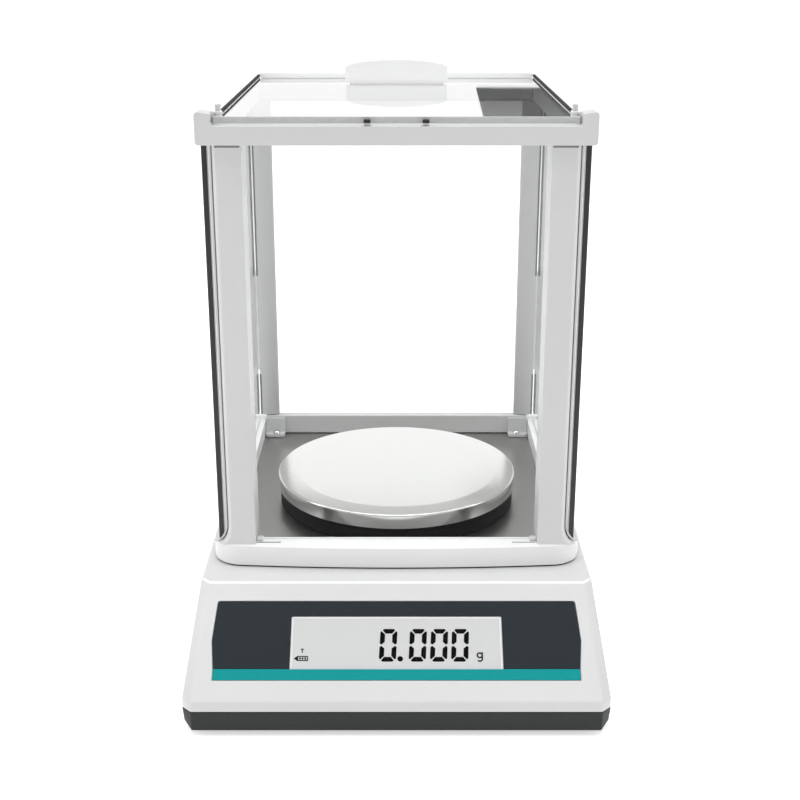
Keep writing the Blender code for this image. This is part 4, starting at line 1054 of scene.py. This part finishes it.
def make_screw(side):
    """A round-headed screw with a cross recess."""
    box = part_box("bracket_screw_" + side)
    middle = middle_of("bracket_screw_" + side)
    radius = radius_of("bracket_screw_" + side)
    head = [
        (0, 1.6 * MM), (0.8 * MM, 1.5 * MM), (1.5 * MM, 1.2 * MM), (2.0 * MM, 0.6 * MM), (radius, 0), (0, 0)
    ]
    mesh = lathe_mesh("bracket_screw_skin_" + side, head, 32)
    piece = bpy.data.objects.new("screw_blank", mesh)
    bpy.context.scene.collection.objects.link(piece)
    for size in ((1.3 * MM, 0.22 * MM), (0.22 * MM, 1.3 * MM)):
        carve(piece, box_mesh("cross", (-size[0], -size[1], 0.9 * MM), (size[0], size[1], 3 * MM)))
    mesh = piece.data
    bpy.data.objects.remove(piece, do_unlink=True)
    moved_mesh(mesh, (middle.x, middle.y, box[0].z))
    smooth(
        add_piece(
            "bracket_screw_skin_" + side, mesh, [STEEL], "base", ["bracket_screw_" + side]
        )
    )


def repaint(node, material):
    node.data.materials.clear()
    node.data.materials.append(material)


# ---------------------------------------------------------------- top frame


def make_top_frame():
    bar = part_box("front_bar")
    shelf = bar[1].z - 6.1 * MM
    corner, bend, inner = 1.6 * MM, 1.2 * MM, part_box("lid_glass")[1].x + 3 * CLEAR
    right = [(inner - bend, shelf)] + arc((inner - bend, shelf + bend), bend, -90, 0, 5)
    right += [(inner, bar[1].z - 0.8 * MM)] + arc((bar[1].x - corner, bar[1].z - corner), corner, 90, 0, 6)
    right += arc((bar[1].x - corner, bar[0].z + corner), corner, 0, -90, 8)
    outline = right + [(-x, z) for x, z in reversed(right)]
    mesh = prism_mesh("front_bar_skin", outline, bar[0].y, bar[1].y, "Y")
    piece = fit(mesh, FRAME_WHITE, ["front_bar"])
    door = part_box("door_glass_left")
    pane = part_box("front_glass")
    carve(
        piece,
        box_mesh(
            "slot", (pane[0].x - CLEAR, pane[0].y - CLEAR, bar[0].z - MM),
            (pane[1].x + CLEAR, pane[1].y + CLEAR, pane[1].z + CLEAR),
        ),
    )
    for side, sign in sides():
        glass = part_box("door_glass_" + side)
        carve(piece, box_mesh("slot", (glass[0].x - DOOR_PLAY, glass[0].y - CLEAR, bar[0].z - MM),
                              (glass[1].x + DOOR_PLAY, bar[1].y + MM, glass[1].z + CLEAR)))
    soften(piece, 1.3 * MM, 4, 50)
    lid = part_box("lid_glass")
    for side, sign in sides():
        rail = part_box("side_rail_" + side)
        inner, outer = (abs(rail[1].x), abs(rail[0].x)) if sign < 0 else (rail[0].x, rail[1].x)
        slot_x = lid[1].x + CLEAR
        door_in, door_out = sorted((abs(door[0].x), abs(door[1].x)))
        bottom, top = rail[0].z, rail[1].z
        outline = [
            (inner, bottom), (door_in - DOOR_PLAY, bottom), (door_in - DOOR_PLAY, door[1].z + CLEAR),
            (door_out + DOOR_PLAY, door[1].z + CLEAR), (door_out + DOOR_PLAY, bottom), (outer, bottom),
            (outer, top), (inner, top), (inner, lid[1].z + CLEAR), (slot_x, lid[1].z + CLEAR),
            (slot_x, lid[0].z - CLEAR), (inner, lid[0].z - CLEAR),
        ]
        mesh = prism_mesh(
            "side_rail_skin_" + side, [(sign * x, z) for x, z in outline], rail[0].y, rail[1].y, "Y"
        )
        soften(fit(mesh, HANDLE_WHITE, ["side_rail_" + side]), 0.45 * MM, 3, 50)
        # Painted shadow: a dark rubber strip along the rail's inner top edge, where the gap beside the lid
        # lies in shadow.
        seal_x = span(sign * inner, sign * (inner + 1.2 * MM))
        seal = box_mesh(
            "rail_gap_shade_" + side, (seal_x[0], rail[0].y + 3.6 * MM, top - 1.2 * MM),
            (seal_x[1], rail[1].y - 0.3 * MM, top + 0.15 * MM),
        )
        soften(fit(seal, RUBBER), 0.15 * MM, 2)
        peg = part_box("rail_peg_" + side)
        mesh = prism_mesh(
            "rail_peg_skin_" + side, rounded(peg[0].x, peg[1].x, peg[0].y, peg[1].y, 1.1 * MM, 8),
            peg[0].z - CLEAR, peg[1].z,
        )
        soften(fit(mesh, WHITE, ["rail_peg_" + side]), 0.4 * MM)
        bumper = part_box("lid_bumper_" + side)
        stand = box_mesh(
            "bumper_stand_" + side,
            (bumper[0].x, bumper[0].y + 0.5 * MM, bumper[0].z),
            (bumper[1].x, bumper[1].y, bumper[0].z + 1.1 * MM),
        )
        soften(fit(stand, FRAME_WHITE), 0.2 * MM, 2)
        outline = rounded(bumper[0].x, bumper[1].x, bumper[0].z + MM, bumper[1].z, 0.5 * MM, 6)
        mesh = prism_mesh("lid_bumper_skin_" + side, outline, bumper[0].y - 0.2 * MM, bumper[1].y, "Y")
        soften(fit(mesh, RUBBER, ["lid_bumper_" + side]), 0.3 * MM, 2)
    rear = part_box("rear_bar")
    soften(
        fit(box_mesh("rear_bar_skin", rear[0], rear[1]), FRAME_WHITE, ["rear_bar"]), 0.8 * MM
    )


def make_door_handles():
    """A moulded clamp round the door's rear edge with a grip that stands out to the side."""
    for side, sign in sides():
        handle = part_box("door_handle_" + side)
        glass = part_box("door_glass_" + side)
        glass_in, glass_out = sorted((abs(glass[0].x), abs(glass[1].x)))
        inner, outer = sorted((abs(handle[0].x), abs(handle[1].x)))
        y0, y1 = handle[0].y, handle[1].y
        rear = glass[1].y
        cheek = glass_out + 1.8 * MM
        grip = 1.7 * MM
        outline = [
            (inner, y0), (glass_in - CLEAR, y0), (glass_in - CLEAR, rear + CLEAR),
            (glass_out + CLEAR, rear + CLEAR), (glass_out + CLEAR, y0), (cheek, y0), (cheek, rear - 2.0 * MM),
        ]
        outline += arc((cheek + 2.0 * MM, rear - 2.0 * MM), 2.0 * MM, 180, 90, 6)
        outline += arc((outer - grip, rear + grip), grip, -90, 90, 10)
        outline += [(inner + MM, y1), (inner, y1 - MM)]
        mesh = prism_mesh(
            "door_handle_skin_" + side, [(sign * x, y) for x, y in outline], handle[0].z, handle[1].z
        )
        piece = add_piece(mesh.name, mesh, [BRIGHT], "door_" + side, ["door_handle_" + side])
        soften(piece, 0.5 * MM, 3, 50)


def make_lid_handle():
    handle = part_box("lid_handle")
    half = handle[1].x
    tall = handle[1].z - handle[0].z
    shoulder = 0.62 * tall
    outline = [(-half, 0.0), (half, 0.0)]
    steps = 32
    for i in range(steps + 1):
        x = half * math.cos(math.pi * i / steps)
        outline.append((x, shoulder + (tall - shoulder) * abs(math.sin(math.pi * i / steps)) ** 0.8))
    mesh = prism_mesh(
        "lid_handle_skin", [(x, z + handle[0].z) for x, z in outline], handle[0].y, handle[1].y, "Y"
    )
    soften(
        add_piece("lid_handle_skin", mesh, [HANDLE_WHITE], "lid", ["lid_handle"]), 0.8 * MM,
        4, 50,
    )
    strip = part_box("lid_rear_strip")
    piece = add_piece(
        "lid_strip_skin", box_mesh("lid_strip_skin", strip[0], strip[1]), [HANDLE_WHITE], "lid",
        ["lid_rear_strip"],
    )
    soften(piece, 0.7 * MM)
    pad = box_mesh(
        "lid_handle_pad", (-half * 0.92, handle[0].y - 2.2 * MM, handle[0].z - CLEAR),
        (half * 0.92, handle[1].y + 2.2 * MM, handle[0].z + 0.7 * MM),
    )
    soften(add_piece("lid_handle_pad", pad, [WHITE], "lid"), 0.3 * MM)


# ---------------------------------------------------------------- pan and cell


def make_pan():
    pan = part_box("weighing_pan")
    radius = radius_of("weighing_pan")
    top, bottom = pan[1].z, pan[0].z
    roll, wall, drop, slope = 0.9 * MM, 1.2 * MM, 0.5 * MM, 10.5 * MM
    profile = [(0, top), (radius * 0.5, top), (radius - slope, top)]
    for i in range(1, 9):
        part = i / 8
        profile.append(
            (radius - slope + (slope - roll) * part, top - drop * (0.75 * part + 0.25 * part * part))
        )
    profile += arc((radius - roll, top - drop - roll), roll, 84, 0, 8)
    profile += [(radius, bottom + 0.3 * MM), (radius - 0.3 * MM, bottom), (radius - wall, bottom)]
    profile += [(radius - wall, top - drop - wall - 0.4 * MM), (radius - wall - 0.4 * MM, top - drop - wall)]
    profile += [(radius - slope, top - wall)]
    profile += [(0, top - wall)]
    mesh = lathe_mesh("pan_skin", profile, 192)
    for face in mesh.polygons:
        face.material_index = 1 if face.normal.z > 0.985 else 0
    piece = add_piece(
        "pan_skin", mesh, [STEEL, SATIN], "pan", ["weighing_pan"],
        PAN_PLACE,
    )
    smooth(piece, 40)


def make_inside():
    paints = {
        "pan_support": CAST, "cell_block": CAST, "load_receiver": CAST, "balance_beam": CAST,
        "upper_guide": BRUSHED, "lower_guide": BRUSHED, "magnet_pot": STEEL, "coil": COPPER,
        "main_board": BOARD, "display_board": BOARD,
    }
    for name, material in paints.items():
        repaint(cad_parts[name], material)


# ---------------------------------------------------------------- rear and underside


def make_feet():
    for place in CORNERS:
        repaint(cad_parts["foot_wheel_" + place], BLACK)
        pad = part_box("foot_pad_" + place)
        middle = middle_of("foot_pad_" + place)
        radius = radius_of("foot_pad_" + place)
        top, bottom = pad[1].z, pad[0].z
        profile = [
            (0, top), (radius - 0.5 * MM, top), (radius, top - 0.5 * MM),
            (radius - 0.6 * MM, bottom + 0.4 * MM), (radius - 1.1 * MM, bottom), (radius * 0.55, bottom),
            (radius * 0.5, bottom + 0.4 * MM), (radius * 0.45, bottom), (0, bottom),
        ]
        mesh = lathe_mesh("foot_pad_skin_" + place, profile, 64)
        piece = add_piece(
            mesh.name, mesh, [RUBBER], "pad_" + place, ["foot_pad_" + place],
            (middle.x, middle.y, 0),
        )
        smooth(piece)


def make_connectors():
    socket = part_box("power_socket")
    middle = middle_of("power_socket")
    repaint(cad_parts["power_socket"], BLACK)
    repaint(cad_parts["serial_port"], BLACK)
    pin = lathe_mesh(
        "socket_pin",
        [(0, 0), (0.7 * MM, -0.3 * MM), (1.0 * MM, -1.0 * MM), (1.0 * MM, -6 * MM), (0, -6 * MM)], 24,
    )
    smooth(
        add_piece(
            "socket_pin", moved_mesh(pin, (middle.x, socket[1].y - 1.5 * MM, middle.z), AXIS_TILT), [BRASS],
            "base",
        )
    )
    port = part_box("serial_port")
    centre = middle_of("serial_port")
    half, tall = 8.4 * MM, 4.1 * MM
    shell = [(-half, tall), (half, tall), (half - 1.6 * MM, -tall), (-half + 1.6 * MM, -tall)]
    outline = [(x + centre.x, z + centre.z) for x, z in shell]
    mesh = prism_mesh("port_shell", outline, port[1].y - 5 * MM, port[1].y + 1.2 * MM, "Y")
    piece = fit(mesh, STEEL)
    inner = [(x * 0.9 + centre.x, z * 0.84 + centre.z) for x, z in shell]
    carve(piece, prism_mesh("port_inner", inner, port[1].y - 4.5 * MM, port[1].y + 3 * MM, "Y"))
    soften(piece, 0.25 * MM, 2)
    for row, (count, z) in enumerate(((5, 1.4 * MM), (4, -1.4 * MM))):
        for i in range(count):
            x = centre.x + (i - (count - 1) / 2) * PORT_PIN_PITCH
            pin = lathe_mesh(
                "port_pin",
                [(0, 0.2 * MM), (0.4 * MM, 0), (0.5 * MM, -0.4 * MM), (0.5 * MM, -4 * MM), (0, -4 * MM)], 12,
            )
            name = f"port_pin_{row}_{i}"
            smooth(
                add_piece(
                    name, moved_mesh(pin, (x, port[1].y, centre.z + z), AXIS_TILT), [BRASS], "base",
                )
            )
    for side, sign in sides():
        x = centre.x + sign * PORT_NUT_PLACE
        hexagon = circle(x, centre.z, PORT_NUT_RADIUS, 6)
        mesh = prism_mesh("port_nut_" + side, hexagon, port[1].y - MM, port[1].y + 2.2 * MM, "Y")
        soften(fit(mesh, STEEL), 0.3 * MM, 2)


def make_level():
    """A round bubble level: a ring, green liquid with a bubble, and a clear dome over them."""
    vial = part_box("level_vial")
    middle = middle_of("level_vial")
    radius = radius_of("level_vial")
    top = vial[1].z
    place = (middle.x, middle.y, 0)
    rim = [
        (radius - 1.4 * MM, top), (radius - 0.3 * MM, top), (radius, top - 0.3 * MM), (radius, vial[0].z),
        (radius - 1.4 * MM, vial[0].z),
    ]
    smooth(
        add_piece(
            "level_ring", lathe_mesh("level_ring", rim, 64), [BLACK], "base", ["level_vial"],
            place,
        )
    )
    well = radius - 1.5 * MM
    liquid = [(0, top - 0.8 * MM), (well, top - 0.8 * MM), (well, vial[0].z + MM), (0, vial[0].z + MM)]
    smooth(
        add_piece(
            "level_liquid", lathe_mesh("level_liquid", liquid, 64), [LEVEL_LIQUID], "base", (), place
        )
    )
    mark = [
        (2.6 * MM, top - 0.7 * MM), (2.9 * MM, top - 0.7 * MM), (2.9 * MM, top - 0.9 * MM),
        (2.6 * MM, top - 0.9 * MM),
    ]
    smooth(
        add_piece(
            "level_mark", lathe_mesh("level_mark", mark, 64), [SEGMENT], "base", (), place
        )
    )
    bubble = [
        (0, top - 0.45 * MM), (1.2 * MM, top - 0.5 * MM), (1.9 * MM, top - 0.7 * MM),
        (1.9 * MM, top - 0.9 * MM), (0, top - 0.9 * MM),
    ]
    smooth(
        add_piece(
            "level_bubble", lathe_mesh("level_bubble", bubble, 48), [LCD_BORDER], "base", (), place
        )
    )
    dome = [(0, top), (well, top - 0.25 * MM), (well, top - 0.4 * MM), (0, top - 0.4 * MM)]
    smooth(add_piece("level_dome", lathe_mesh("level_dome", dome, 64), [LENS], "base", (), place))


make_body()
make_panel()
make_collar()
make_columns()
make_panes()
make_floor()
make_top_frame()
make_door_handles()
make_lid_handle()
make_pan()
make_inside()
make_feet()
make_connectors()
make_level()
